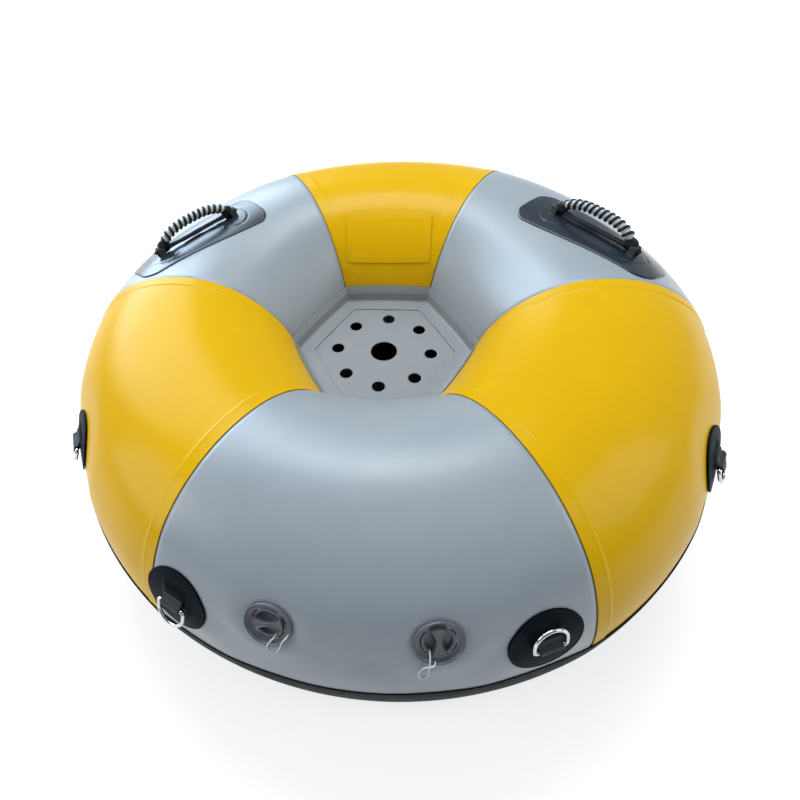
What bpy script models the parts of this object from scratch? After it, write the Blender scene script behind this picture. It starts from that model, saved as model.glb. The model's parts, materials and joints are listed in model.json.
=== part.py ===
"""Inflatable swim ring for rivers and pools: a six-sided tube with a drained seat floor.

Metres, +Z up. The origin is under the middle of the ring, on the surface it stands on, and the
panel with the two valves faces -Y. A place on the tube is two angles in degrees: theta goes round
the ring from +X, and phi goes round the tube from its outer edge, over the top at 90, to the seat
side at 180. Heights are measured outwards from the outer face of the coloured panels.
"""

import math

import bmesh
import bpy
import numpy as np
from mathutils import Matrix, Vector

# Tube, as blown up
OUTER_RADIUS = 0.600
TUBE_RADIUS = 0.226
TUBE_HALF_HEIGHT = 0.234
PANELS = 6
CORNER_OUTER = 0.04  # how far the plan turns at the seams: 0 is a circle, 1 a hexagon
CORNER_TOP = 0.13
CORNER_INNER = 0.97
CORNER_FADE = 3.0
WIDE_FACETS = 5
TOP_FACETS = 9
INNER_FACETS = 3
OUTER_FACETS = 4
BASE_HALF_ANGLE = 12.0

# Coated fabric and its laps
FABRIC = 0.0010
GAP = 0.0004
SEAM_LAP = 0.023
BLACK_EDGE = 11.5
BLACK_LAP = 8.0
BLACK_INNER_EDGE = 182.0
BAND_LAP = 3.5
BAND_STEP = 1.0
BAND_BOTTOM = 188.0
FLOOR_MARGIN = 2.0
TRIM_REACH = 0.006  # how far an uncut piece or a cutter runs past the face that it meets
DIE_DEPTH = 0.12

# Seat floor, with its drain holes as shares of the seat well's radius
FLOOR_ABOVE_CENTRE = 0.055
FLOOR_THICKNESS = 0.0012
CENTRE_DRAIN_SHARE = 0.179
DRAIN_SHARE = 0.0845
DRAIN_CIRCLE_SHARE = 0.6432
DRAINS = 8
FIRST_DRAIN = 86.6
TAPE_ON_FLOOR = 0.028
TAPE_ON_WALL = 0.014
TAPE_MITRE = 0.15

# Rectangular patch low on the back panel's seat side
BACK_PATCH_THETA = 90.0
BACK_PATCH_PHI = 133.5
BACK_PATCH_WIDTH = 0.178
BACK_PATCH_HEIGHT = 0.100
BACK_PATCH_CORNER = 0.004

# D-ring sets: name, theta, phi, and whether the ring rests hanging or thrown up
PATCH_THICKNESS = 0.0020
PATCH_RADIUS = 0.050
D_RING_PLACES = (
    ("front_left", -115.6, 28.9, "down"),
    ("front_right", -67.1, 27.4, "up"),
    ("left", -150.0, 31.0, "down"),
    ("right", -28.0, 30.0, "down"),
    ("back_left", 160.0, 30.0, "down"),
    ("back_right", 20.0, 30.0, "down"),
)
TOW_PHI = 31.0
TOW_TOP_WIDTH = 0.105
TOW_BOTTOM_WIDTH = 0.190
TOW_ABOVE = 0.062
TOW_BELOW = 0.090
TOW_CORNER = 0.014
WIRE_RADIUS = 0.0025
D_INNER_WIDTH = 0.038
D_LENGTH = 0.040
D_CORNER = 0.004
D_LEG = 0.011
BOW_FACETS = 6
D_RING_LEAN = 3.0
BAR_BELOW_CENTRE = 0.004
STRAP_THICKNESS = 0.0014
STRAP_WIDTH = 0.031
STRAP_TAIL = 0.020
BAR_CLEARANCE = 0.0005

# Valves: name, theta, phi, turn of the cap's grip, tether hole and the tether's route in millimetres
FLANGE_RADIUS = 0.0315
FLANGE_HEIGHT = 0.0048
FLANGE_ROUND = 0.0046
NECK_RADIUS = 0.024
NECK_CLEARANCE = 0.0005
VALVE_DEPTH = 0.031
WEB_THICKNESS = 0.003
POCKET_RADIUS = 0.0222
POCKET_FLARE = 0.0030
FLARE_DEPTH = 0.002
SHOULDER_DEPTH = 0.0085
BORE_RADIUS = 0.0183
NUT_WIDTH = 0.006
NUT_DEPTH = 0.009
CAP_CLEARANCE = 0.0008
CAP_TOP_DEPTH = 0.0035
CAP_PLATE = 0.0030
CAP_CHAMFER = 0.0008
SKIRT_DEPTH = 0.009
SKIRT_WALL = 0.0025
SKIRT_CLEARANCE = 0.0005
GRIP_END_WIDTH = 0.019
GRIP_WAIST = 0.0064
GRIP_CURVE = 1.7
GRIP_INSET = 0.0012
GRIP_TOP = 0.0036
SEAL_THICKNESS = 0.0014
SEAL_CLEARANCE = 0.0003
SEAL_PLAY = 0.0008
SEAL_INSET = 0.0004
ROD_RADIUS = 0.0024
ROD_CLEARANCE = 0.0005
BUTTON_RADIUS = 0.006
BUTTON_DEPTH = 0.0100
BUTTON_THICKNESS = 0.0020
DIAPHRAGM_RADIUS = 0.0128
DIAPHRAGM_THICKNESS = 0.0018
DIAPHRAGM_DOME = 0.001
PORTS = 6
PORT_RADIUS = 0.0026
PORT_CIRCLE = 0.0080
SPRING_RADIUS = 0.0044
SPRING_WIRE = 0.0006
SPRING_TURNS = 3
TETHER_RADIUS = 0.0009
TETHER_HOLE_RADIUS = 0.0017
TETHER_STEP = 0.0054
VALVE_PLACES = (
    ("valve_left", -101.6, 36.8, 78.0, (27.4, -5.4), (
        (10.3, -13.6, -1.9), (10.5, -14.2, 1.4), (9.4, -15.9, 5.0), (6.8, -18.8, 7.1),
        (4.6, -23.4, 7.1), (2.8, -28.6, 6.0), (1.4, -33.4, 2.8), (0.0, -37.6, 0.6),
        (-0.6, -41.4, -0.8), (1.0, -45.2, -1.9), (5.8, -47.2, -2.5), (11.4, -44.0, -1.8),
        (14.8, -37.8, 0.0), (17.2, -31.8, 2.8), (18.9, -26.6, 5.6), (20.6, -20.0, 7.4),
        (22.2, -14.2, 8.4), (23.8, -10.4, 8.9), (25.7, -7.7, 8.2), (27.0, -6.0, 5.8),
        (27.4, -5.4, 1.8))),
    ("valve_right", -80.4, 36.5, 0.0, (-5.8, -27.0), (
        (-11.2, -12.4, -1.9), (-11.3, -13.4, 1.2), (-11.7, -16.2, 4.8), (-12.3, -20.6, 7.0),
        (-13.2, -26.8, 7.0), (-13.6, -33.4, 4.2), (-13.5, -40.2, 0.8), (-13.4, -47.4, -2.4),
        (-13.9, -54.0, -4.4), (-16.0, -59.4, -6.0), (-19.8, -61.3, -6.5), (-23.4, -59.5, -6.0),
        (-25.4, -54.6, -4.4), (-25.1, -48.8, -2.7), (-23.6, -42.2, -0.4), (-21.2, -35.8, 2.9),
        (-17.4, -30.6, 6.4), (-13.0, -28.2, 8.5), (-9.6, -27.4, 8.7), (-7.3, -27.1, 7.4),
        (-6.1, -27.0, 4.8), (-5.8, -27.0, 1.8))),
)

# Carry handles on the two back side panels
HANDLE_THETA = 20.2
HANDLE_PHI = 84.0
HANDLE_TWIST = 21.3
PAD_LENGTH = 0.285
PAD_WIDTH = 0.100
PAD_CORNER = 0.030
EYE_SPACING = 0.166
EYE_WIDTH = 0.016
EYE_THICKNESS = 0.0022
WEBBING_RADIUS = 0.0046
EYE_CLEARANCE = 0.0008
WEBBING_TAIL = 0.013
HANDLE_AXIS_HEIGHT = 0.0088
GRIP_RADIUS = 0.0095
GRIP_HALF_LENGTH = 0.072
GRIP_RISE = 0.027
GRIP_ARCH = 3.0  # power of the grip's arch: a higher one is flatter on top
GRIP_TIP_RADIUS = 0.0042
GRIP_TAPER = 4.5
WEBBING_SAG = 0.001

PART = bpy.data.collections.new("swim_ring")
CUTTERS = bpy.data.collections.new("cutters")

PANEL_ANGLE = 360 / PANELS
MIDLINE = OUTER_RADIUS - TUBE_RADIUS
WELL_RADIUS = MIDLINE - TUBE_RADIUS
CENTRE_DRAIN_RADIUS = WELL_RADIUS * CENTRE_DRAIN_SHARE
DRAIN_RADIUS = WELL_RADIUS * DRAIN_SHARE
DRAIN_CIRCLE = WELL_RADIUS * DRAIN_CIRCLE_SHARE
BASE_CUT = TUBE_HALF_HEIGHT * math.cos(math.radians(BASE_HALF_ANGLE))
SKIN_HEIGHT = GAP + FABRIC
CENTRE_HEIGHT = BASE_CUT + SKIN_HEIGHT
FLOOR_TOP = CENTRE_HEIGHT + FLOOR_ABOVE_CENTRE
FLOOR_PHI = 180 - math.degrees(math.asin(FLOOR_ABOVE_CENTRE / TUBE_HALF_HEIGHT))
TAPE_RISE = FLOOR_ABOVE_CENTRE + SKIN_HEIGHT + TAPE_ON_WALL
BAND_TOP = 180 - math.degrees(math.asin(TAPE_RISE / TUBE_HALF_HEIGHT)) - BAND_LAP - 1.5 * BAND_STEP
LAP_ANGLE = math.degrees(SEAM_LAP / OUTER_RADIUS)
PATCH_TOP = GAP + PATCH_THICKNESS
BAR_HEIGHT = PATCH_TOP + GAP + STRAP_THICKNESS + BAR_CLEARANCE + WIRE_RADIUS

# Colours are linear; the last two numbers are roughness and metallic
FINISHES = {
    "yellow_fabric": (0.730, 0.400, 0.004, 0.38, 0.0),
    "grey_fabric": (0.290, 0.325, 0.365, 0.40, 0.0),
    "black_fabric": (0.012, 0.018, 0.026, 0.45, 0.0),
    "floor_fabric": (0.340, 0.360, 0.385, 0.50, 0.0),
    "webbing": (0.010, 0.011, 0.013, 0.80, 0.0),
    "wound_cord": (0.016, 0.018, 0.022, 0.60, 0.0),
    "steel": (0.620, 0.640, 0.670, 0.18, 1.0),
    "spring_steel": (0.500, 0.510, 0.520, 0.30, 1.0),
    "valve_plastic": (0.090, 0.100, 0.115, 0.42, 0.0),
    "seal_rubber": (0.015, 0.015, 0.015, 0.70, 0.0),
    "tether_cord": (0.800, 0.810, 0.820, 0.60, 0.0),
}


def clear_scene():
    for thing in list(bpy.data.objects):
        bpy.data.objects.remove(thing, do_unlink=True)
    for collection in (PART, CUTTERS):
        bpy.context.scene.collection.children.link(collection)


def finish(name):
    """The material of this finish, made the first time it is asked for."""
    if name in bpy.data.materials:
        return bpy.data.materials[name]
    red, green, blue, roughness, metallic = FINISHES[name]
    material = bpy.data.materials.new(name)
    material.use_nodes = True
    shader = material.node_tree.nodes["Principled BSDF"]
    shader.inputs["Base Color"].default_value = (red, green, blue, 1)
    shader.inputs["Roughness"].default_value = roughness
    shader.inputs["Metallic"].default_value = metallic
    return material


def ring_surface(theta, phi):
    """The smooth tube: an ellipse carried round a circle that squares up into a hexagon inside."""
    lean = np.cos(np.radians(phi))
    off_centre = np.radians(theta % PANEL_ANGLE - PANEL_ANGLE / 2)
    outside = CORNER_TOP + (CORNER_OUTER - CORNER_TOP) * lean
    inside = CORNER_TOP + (CORNER_INNER - CORNER_TOP) * np.abs(lean) ** CORNER_FADE
    power = np.where(lean > 0, outside, inside)
    radius = (MIDLINE + TUBE_RADIUS * lean) / np.cos(off_centre) ** power
    x = radius * np.cos(np.radians(theta))
    y = radius * np.sin(np.radians(theta))
    return np.stack([x, y, TUBE_HALF_HEIGHT * np.sin(np.radians(phi))], axis=-1)


def spread(start, end, count):
    return [start + (end - start) * k / count for k in range(count)]


def facet_lines():
    """The angles that bound the facets. Every lap and edge of the sheets is on one of them."""
    columns = []
    for k in range(PANELS):
        start, end = k * PANEL_ANGLE, (k + 1) * PANEL_ANGLE
        columns += [start] + spread(start + LAP_ANGLE, end - LAP_ANGLE, WIDE_FACETS)
        columns.append(end - LAP_ANGLE)
    rows = [BLACK_EDGE - BLACK_LAP] + spread(BLACK_EDGE, BAND_TOP, TOP_FACETS)
    rows += [BAND_TOP, BAND_TOP + BAND_LAP, FLOOR_PHI + FLOOR_MARGIN, BLACK_INNER_EDGE]
    rows += spread(BAND_BOTTOM, 270 - BASE_HALF_ANGLE, INNER_FACETS)
    rows.append(270 - BASE_HALF_ANGLE)
    rows += spread(270 + BASE_HALF_ANGLE, 360 + rows[0], OUTER_FACETS)
    return np.array(columns), np.array(rows)


COLUMNS, ROWS = facet_lines()


def facet_grid():
    """Corners and outward normals of the tube's facets, with its lowest rows flat on the ground."""
    theta, phi = np.meshgrid(COLUMNS, ROWS, indexing="ij")
    step = 0.01
    points = ring_surface(theta, phi)
    along = ring_surface(theta + step, phi) - ring_surface(theta - step, phi)
    around = ring_surface(theta, phi + step) - ring_surface(theta, phi - step)
    normals = np.cross(along, around)
    normals /= np.linalg.norm(normals, axis=-1, keepdims=True)
    flat = points[..., 2] < -BASE_CUT + 1e-9
    normals[flat] = (0, 0, -1)
    points[..., 2] = np.maximum(points[..., 2], -BASE_CUT) + CENTRE_HEIGHT
    return points, normals


GRID_POINTS, GRID_NORMALS = facet_grid()


def mixed(grid, theta, phi):
    """The value of a grid at these angles, mixed from the four corners of the facet they fall in."""
    columns, rows = len(COLUMNS), len(ROWS)
    column = np.interp(np.mod(theta, 360), [*COLUMNS, 360], range(columns + 1))
    row = np.interp(np.mod(phi - ROWS[0], 360), [*(ROWS - ROWS[0]), 360], range(rows + 1))
    i = np.floor(column + 1e-9).astype(int)
    j = np.floor(row + 1e-9).astype(int)
    u = (column - i)[..., None]
    v = (row - j)[..., None]
    i, j = i % columns, j % rows
    right, above = (i + 1) % columns, (j + 1) % rows
    low = grid[i, j] * (1 - u) + grid[right, j] * u
    high = grid[i, above] * (1 - u) + grid[right, above] * u
    return low * (1 - v) + high * v


def on_tube(theta, phi, height=0.0):
    """Points at this height over the faceted tube."""
    theta, phi = np.broadcast_arrays(np.asarray(theta, float), np.asarray(phi, float))
    normals = mixed(GRID_NORMALS, theta, phi)
    normals /= np.linalg.norm(normals, axis=-1, keepdims=True)
    return mixed(GRID_POINTS, theta, phi) + normals * np.asarray(height, float)[..., None]


def all_turns(marks):
    return [mark + 360 * turn for turn in (-1, 0, 1) for mark in marks]


def lines(start, end, marks):
    """Start, end and the facet lines between them, so that a sheet bends where the tube does."""
    between = [mark for mark in all_turns(marks) if start + 0.1 < mark < end - 0.1]
    return [start] + between + [end]


def covering_lines(start, end, marks):
    """The facet lines round every facet that lies between start and end."""
    turns = all_turns(marks)
    first = max(mark for mark in turns if mark <= start)
    last = min(mark for mark in turns if mark >= end)
    return [mark for mark in turns if first <= mark <= last]


def seat_frame(theta, phi, twist=0.0):
    """Frame on the tube: x along the ring, y up round the tube, both turned by twist, z outwards."""
    origin = on_tube(theta, phi)
    normal = Vector(on_tube(theta, phi, 1.0) - origin).normalized()
    along = Vector((-math.sin(math.radians(theta)), math.cos(math.radians(theta)), 0))
    along = (along - normal * along.dot(normal)).normalized()
    across = normal.cross(along)
    turn = math.radians(twist)
    x_axis = along * math.cos(turn) + across * math.sin(turn)
    y_axis = normal.cross(x_axis)
    frame = Matrix.Identity(4)
    for column, axis in enumerate((x_axis, y_axis, normal, Vector(origin))):
        frame.col[column][:3] = axis
    return frame


def keep(thing, material=None, smooth_angle=35.0):
    """Files an object with the part, or with the cutters when it has no material."""
    collection = PART if material else CUTTERS
    collection.objects.link(thing)
    if material:
        thing.data.materials.append(finish(material))
        if thing.type == "MESH":
            thing.data.shade_smooth()
            thing.data.set_sharp_from_angle(angle=math.radians(smooth_angle))
        return thing
    thing.hide_render = True
    thing.display_type = "WIRE"
    return thing


def empty(name, frame):
    """A named seat on the tube that carries the pieces of one assembly."""
    seat = bpy.data.objects.new(name, None)
    seat.empty_display_size = 0.02
    seat.matrix_world = frame
    PART.objects.link(seat)
    return seat


def place(thing, seat, offset=(0, 0, 0)):
    """Parents a piece to its seat, with its origin at this offset."""
    thing.parent = seat
    thing.location = offset
    return thing


def mesh_object(name, points, faces):
    mesh = bpy.data.meshes.new(name)
    mesh.from_pydata([tuple(p) for p in points], [], faces)
    mesh.validate()
    return bpy.data.objects.new(name, mesh)


def grid_object(name, points, closed_columns=False, closed_rows=False):
    """A sheet over a grid of points, each facet split along its shorter diagonal."""
    columns, rows = points.shape[:2]
    i, j = np.meshgrid(
        np.arange(columns - (not closed_columns)),
        np.arange(rows - (not closed_rows)),
        indexing="ij",
    )
    right, above = (i + 1) % columns, (j + 1) % rows
    corners = (i * rows + j, right * rows + j, right * rows + above, i * rows + above)
    a, b, c, d = np.stack(corners, axis=-1).reshape(-1, 4).T
    flat = points.reshape(-1, 3)
    rising = np.linalg.norm(flat[a] - flat[c], axis=1)
    falling = np.linalg.norm(flat[b] - flat[d], axis=1)
    split = (rising < falling)[:, None]
    faces = np.where(split, np.stack([a, b, c, a, c, d], 1), np.stack([b, c, d, b, d, a], 1))
    return mesh_object(name, flat, faces.reshape(-1, 3).tolist())


def thicken(thing, thickness):
    """Gives a sheet its wall, on the side away from its normals."""
    wall = thing.modifiers.new("wall", "SOLIDIFY")
    wall.thickness = thickness
    wall.offset = -1
    wall.use_even_offset = True


def boolean(thing, operation, other):
    cut = thing.modifiers.new(operation.lower() + "_" + other.name, "BOOLEAN")
    cut.operation = operation
    cut.object = other
    cut.solver = "EXACT"


def tube_solid(name, height):
    """The whole tube as one solid at this height, to trim pieces to its facets."""
    points = on_tube(COLUMNS[:, None], ROWS[None, :], height)
    return keep(grid_object(name, points, closed_columns=True, closed_rows=True))


def turned(name, profile, steps=20):
    """A profile of (radius, height) pairs turned round the Z axis."""
    mesh = bpy.data.meshes.new(name)
    ring = abs(profile[0][0]) > 1e-9
    edges = [(k, k + 1) for k in range(len(profile) - 1)]
    if ring:
        edges.append((len(profile) - 1, 0))
    mesh.from_pydata([(r, 0, h) for r, h in profile], edges, [])
    thing = bpy.data.objects.new(name, mesh)
    screw = thing.modifiers.new("turn", "SCREW")
    screw.steps = steps
    screw.render_steps = steps
    screw.use_merge_vertices = True
    screw.merge_threshold = 0.00001
    return thing


def cylinder(name, radius, low, high, sides=24):
    mesh = bpy.data.meshes.new(name)
    shape = bmesh.new()
    bmesh.ops.create_cone(
        shape,
        cap_ends=True,
        segments=sides,
        radius1=radius,
        radius2=radius,
        depth=high - low,
        matrix=Matrix.Translation((0, 0, (low + high) / 2)),
    )
    shape.to_mesh(mesh)
    shape.free()
    return bpy.data.objects.new(name, mesh)


def plate(name, outlines, thickness):
    """A flat outline with its holes, in XY, with half its thickness on each side."""
    curve = bpy.data.curves.new(name, "CURVE")
    curve.dimensions = "2D"
    curve.fill_mode = "BOTH"
    curve.extrude = thickness / 2
    for outline in outlines:
        spline = curve.splines.new("POLY")
        spline.points.add(len(outline) - 1)
        for point, (x, y) in zip(spline.points, outline):
            point.co = (x, y, 0, 1)
        spline.use_cyclic_u = True
    return bpy.data.objects.new(name, curve)


def tube_along(name, points, radius, sides=2, closed=False, radii=None):
    """A round bar or cord along these points."""
    curve = bpy.data.curves.new(name, "CURVE")
    curve.dimensions = "3D"
    curve.bevel_depth = radius
    curve.bevel_resolution = sides
    curve.use_fill_caps = not closed
    spline = curve.splines.new("POLY")
    spline.points.add(len(points) - 1)
    for index, (point, place_at) in enumerate(zip(spline.points, points)):
        point.co = (*place_at, 1)
        point.radius = 1 if radii is None else radii[index]
    spline.use_cyclic_u = closed
    return bpy.data.objects.new(name, curve)


def as_mesh(thing):
    """The mesh of a curve, with its caps welded on, so that it can be cut or joined."""
    CUTTERS.objects.link(thing)
    bpy.context.view_layer.update()
    graph = bpy.context.evaluated_depsgraph_get()
    mesh = bpy.data.meshes.new_from_object(thing.evaluated_get(graph))
    shape = bmesh.new()
    shape.from_mesh(mesh)
    bmesh.ops.remove_doubles(shape, verts=shape.verts, dist=1e-6)
    bmesh.ops.recalc_face_normals(shape, faces=shape.faces)
    shape.to_mesh(mesh)
    shape.free()
    name, frame = thing.name, thing.matrix_world.copy()
    bpy.data.objects.remove(thing, do_unlink=True)
    solid = bpy.data.objects.new(name, mesh)
    solid.matrix_world = frame
    return solid


def circle(radius, sides, centre=(0, 0)):
    turns = [math.tau * k / sides for k in range(sides)]
    return [
        (centre[0] + radius * math.cos(a), centre[1] + radius * math.sin(a)) for a in turns
    ]


def rounded(corners, radius, steps=4):
    """A polygon with its corners replaced by arcs."""
    outline = []
    count = len(corners)
    for k in range(count):
        corner = Vector(corners[k])
        before = (Vector(corners[k - 1]) - corner).normalized()
        after = (Vector(corners[(k + 1) % count]) - corner).normalized()
        half = before.angle(after) / 2
        centre = corner + (before + after).normalized() * radius / math.sin(half)
        start = corner + before * radius / math.tan(half) - centre
        end = corner + after * radius / math.tan(half) - centre
        sweep = start.angle_signed(end)
        for step in range(steps + 1):
            turned_by = Matrix.Rotation(-sweep * step / steps, 2)
            outline.append(tuple(centre + turned_by @ start))
    return outline


def smooth_route(points, spacing):
    """Evenly spaced points on one smooth curve through a cord's own points."""
    fixed = np.array(points, float)
    ends = np.vstack([2 * fixed[0] - fixed[1], fixed, 2 * fixed[-1] - fixed[-2]])
    fine = []
    for k in range(1, len(ends) - 2):
        t = np.linspace(0, 1, 12, endpoint=False)[:, None]
        a, b, c, d = ends[k - 1 : k + 3]
        cubic = (2 * b + (c - a) * t + (2 * a - 5 * b + 4 * c - d) * t**2
                 + (3 * b - a - 3 * c + d) * t**3)
        fine.append(cubic / 2)
    fine = np.vstack(fine + [fixed[-1:]])
    travel = np.concatenate([[0], np.cumsum(np.linalg.norm(np.diff(fine, axis=0), axis=1))])
    stops = np.linspace(0, travel[-1], round(travel[-1] / spacing) + 1)
    return np.stack([np.interp(stops, travel, fine[:, k]) for k in range(3)], axis=-1)


def cut_patch(name, frame, theta, phi, outline, thickness, material, lowest_phi=None):
    """A patch cut from sheet that already lies on the tube's facets, in the shape of the outline."""
    reach = max(max(abs(x), abs(y)) for x, y in outline) * 1.25
    x, y, _ = on_tube(theta, phi)
    theta_reach = math.degrees(reach / math.hypot(x, y))
    phi_reach = math.degrees(reach / TUBE_RADIUS)
    low = phi - phi_reach if lowest_phi is None else lowest_phi
    columns = np.array(covering_lines(theta - theta_reach, theta + theta_reach, COLUMNS))
    rows = np.array(covering_lines(low, phi + phi_reach, ROWS))
    rows[0] = max(rows[0], low)
    points = on_tube(columns[:, None], rows[None, :], GAP + thickness)
    sheet = keep(grid_object(name, points), material)
    thicken(sheet, thickness)
    die = as_mesh(plate(name + "_die", [outline], DIE_DEPTH))
    die.matrix_world = frame
    keep(die)
    boolean(sheet, "INTERSECT", die)
    return sheet


def panel(name, start, material, under):
    """One coloured panel of the tube's upper half. Under its neighbours it dips by one fabric."""
    end = start + PANEL_ANGLE
    columns = lines(start, end, COLUMNS)
    heights = [0.0] * len(columns)
    if under:
        below = [-(FABRIC + GAP)] * 2
        columns = [start - LAP_ANGLE] + columns + [end + LAP_ANGLE]
        heights = below + heights[1:-1] + below
    rows = lines(BLACK_EDGE - BLACK_LAP, BAND_TOP + BAND_LAP, ROWS)
    theta = np.array(columns)[:, None]
    points = on_tube(theta, np.array(rows)[None, :], np.array(heights)[:, None])
    sheet = keep(grid_object(name, points), material)
    thicken(sheet, FABRIC)
    return sheet


def envelope():
    """The six panels, the black lower skin and the band round the seat well."""
    names = ("panel_back_right", "panel_back", "panel_back_left",
             "panel_front_left", "panel_front", "panel_front_right")
    panels = {}
    for k, name in enumerate(names):
        grey = k % 2 == 0
        material = "grey_fabric" if grey else "yellow_fabric"
        panels[name] = panel(name, k * PANEL_ANGLE, material, under=grey)

    theta = COLUMNS[:, None]
    rows = np.array(lines(BLACK_INNER_EDGE, 360 + BLACK_EDGE, ROWS))
    skin = grid_object("bottom_skin", on_tube(theta, rows, SKIN_HEIGHT), closed_columns=True)
    thicken(keep(skin, "black_fabric"), FABRIC)

    over = BAND_TOP + BAND_LAP + BAND_STEP / 2
    lower = lines(over + BAND_STEP, BAND_BOTTOM, ROWS)
    rows = np.array([BAND_TOP, over] + lower)
    heights = np.array([SKIN_HEIGHT] * 2 + [0.0] * len(lower))
    band = grid_object("seat_band", on_tube(theta, rows, heights), closed_columns=True)
    thicken(keep(band, "grey_fabric"), FABRIC)
    return panels


def chamber_walls():
    """Two walls inside the tube that part it into two air chambers, one for each valve."""
    for name, theta in (("chamber_wall_front", -90.0), ("chamber_wall_back", 90.0)):
        section = on_tube(theta, ROWS, -(FABRIC + GAP))
        outline = [(math.hypot(x, y), z) for x, y, z in section]
        wall = plate(name, [outline], FABRIC)
        turn = Matrix.Rotation(math.radians(theta), 4, "Z")
        wall.matrix_world = turn @ Matrix.Rotation(math.radians(90), 4, "X")
        keep(wall, "grey_fabric")


def seat_wall(theta, level, height):
    """Points this far out from the seat wall, at one level over the ground."""
    phi = np.linspace(BAND_TOP, BLACK_INNER_EDGE, 99)
    return np.array([
        [np.interp(-level, -column[:, 2], column[:, axis]) for axis in range(3)]
        for column in on_tube(np.atleast_1d(theta)[:, None], phi, height)
    ])


def seat_floor():
    """The floor sheet with its drain holes, and the six angled tapes that hold it to the wall."""
    bottom = FLOOR_TOP - FLOOR_THICKNESS
    edge = seat_wall(COLUMNS, bottom, 2 * GAP)
    outlines = [[(x, y) for x, y, _ in edge], circle(CENTRE_DRAIN_RADIUS, 16)]
    for k in range(DRAINS):
        turn = math.radians(FIRST_DRAIN - k * 360 / DRAINS)
        centre = (DRAIN_CIRCLE * math.cos(turn), DRAIN_CIRCLE * math.sin(turn))
        outlines.append(circle(DRAIN_RADIUS, 10, centre))
    floor = plate("floor_sheet", outlines, FLOOR_THICKNESS)
    floor.location.z = FLOOR_TOP - FLOOR_THICKNESS / 2
    keep(floor, "floor_fabric")

    tape_top = FLOOR_TOP + SKIN_HEIGHT
    apothem = abs(seat_wall(90, tape_top, SKIN_HEIGHT)[0][1])
    shrink = 1 - TAPE_ON_FLOOR / apothem
    for k in range(PANELS):
        start = k * PANEL_ANGLE
        theta = np.array(lines(start + TAPE_MITRE, start + PANEL_ANGLE - TAPE_MITRE, COLUMNS))
        upper = seat_wall(theta, tape_top + TAPE_ON_WALL, SKIN_HEIGHT)
        corner = seat_wall(theta, tape_top, SKIN_HEIGHT)
        points = np.stack([upper, corner, corner * (shrink, shrink, 1)], axis=1)
        tape = grid_object(f"floor_tape_{k + 1}", points)
        thicken(keep(tape, "floor_fabric"), FABRIC)


def back_patch():
    half_width, half_height = BACK_PATCH_WIDTH / 2, BACK_PATCH_HEIGHT / 2
    corners = [(-half_width, -half_height), (half_width, -half_height),
               (half_width, half_height), (-half_width, half_height)]
    frame = seat_frame(BACK_PATCH_THETA, BACK_PATCH_PHI)
    cut_patch("back_patch", frame, BACK_PATCH_THETA, BACK_PATCH_PHI,
              rounded(corners, BACK_PATCH_CORNER, 2), FABRIC, "yellow_fabric")


def d_ring_outline(direction):
    """The ring's centre line in its own plane: a straight bar, short legs and a round bow."""
    half = D_INNER_WIDTH / 2 + WIRE_RADIUS
    height = D_LENGTH - 2 * WIRE_RADIUS
    points = []
    for k in range(3):
        turn = math.radians(-90 + 45 * k)
        points.append((half + D_CORNER * (math.cos(turn) - 1), D_CORNER * (math.sin(turn) + 1)))
    for k in range(BOW_FACETS + 1):
        turn = math.pi * k / BOW_FACETS
        points.append((half * math.cos(turn), D_LEG + (height - D_LEG) * math.sin(turn)))
    points += [(-x, y) for x, y in points[2::-1]]
    return [(x, direction * y, 0) for x, y in points]


def d_ring_set(name, rests, over_patch, seat):
    """The strap and the ring of one set, on the patch that is already there."""
    pivot = (0, -BAR_BELOW_CENTRE, BAR_HEIGHT)
    loop = WIRE_RADIUS + BAR_CLEARANCE + STRAP_THICKNESS
    tail_top = 2 * STRAP_THICKNESS - BAR_HEIGHT + PATCH_TOP + GAP
    turns = [math.radians(70 + 200 * k / 8) for k in range(9)]
    outline = [(loop * math.cos(a), loop * math.sin(a)) for a in turns]
    outline += [(0, -2 * loop), (STRAP_TAIL, -2 * loop), (STRAP_TAIL, tail_top)]
    hole = circle(WIRE_RADIUS + BAR_CLEARANCE, 12)
    flat = plate(name + "_d_strap", [outline, hole], STRAP_WIDTH)
    flat.matrix_world = (seat.matrix_world @ Matrix.Translation(pivot)
                         @ Matrix.Rotation(math.radians(90), 4, "Z")
                         @ Matrix.Rotation(math.radians(90), 4, "X"))
    strap = keep(as_mesh(flat), "webbing")
    boolean(strap, "DIFFERENCE", over_patch)
    direction = 1 if rests == "up" else -1
    ring = tube_along(name + "_d_ring", d_ring_outline(direction), WIRE_RADIUS, 1, closed=True)
    place(ring, seat, pivot).rotation_euler.x = math.radians(-direction * D_RING_LEAN)
    keep(ring, "steel")


def d_rings(over_patch):
    """Six sets on round patches, and the tow point on its tapered patch at the back."""
    for name, theta, phi, rests in D_RING_PLACES:
        frame = seat_frame(theta, phi)
        seat = empty(name + "_d_ring_seat", frame)
        cut_patch(name + "_d_patch", frame, theta, phi, circle(PATCH_RADIUS, 24),
                  PATCH_THICKNESS, "black_fabric")
        d_ring_set(name, rests, over_patch, seat)
    theta = 90.0
    frame = seat_frame(theta, TOW_PHI)
    seat = empty("tow_seat", frame)
    top, bottom = TOW_TOP_WIDTH / 2, TOW_BOTTOM_WIDTH / 2
    corners = [(-bottom, -TOW_BELOW), (bottom, -TOW_BELOW), (top, TOW_ABOVE), (-top, TOW_ABOVE)]
    cut_patch("tow_patch", frame, theta, TOW_PHI, rounded(corners, TOW_CORNER),
              PATCH_THICKNESS, "black_fabric", lowest_phi=BLACK_EDGE + 0.2)
    d_ring_set("tow", "down", over_patch, seat)


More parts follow.
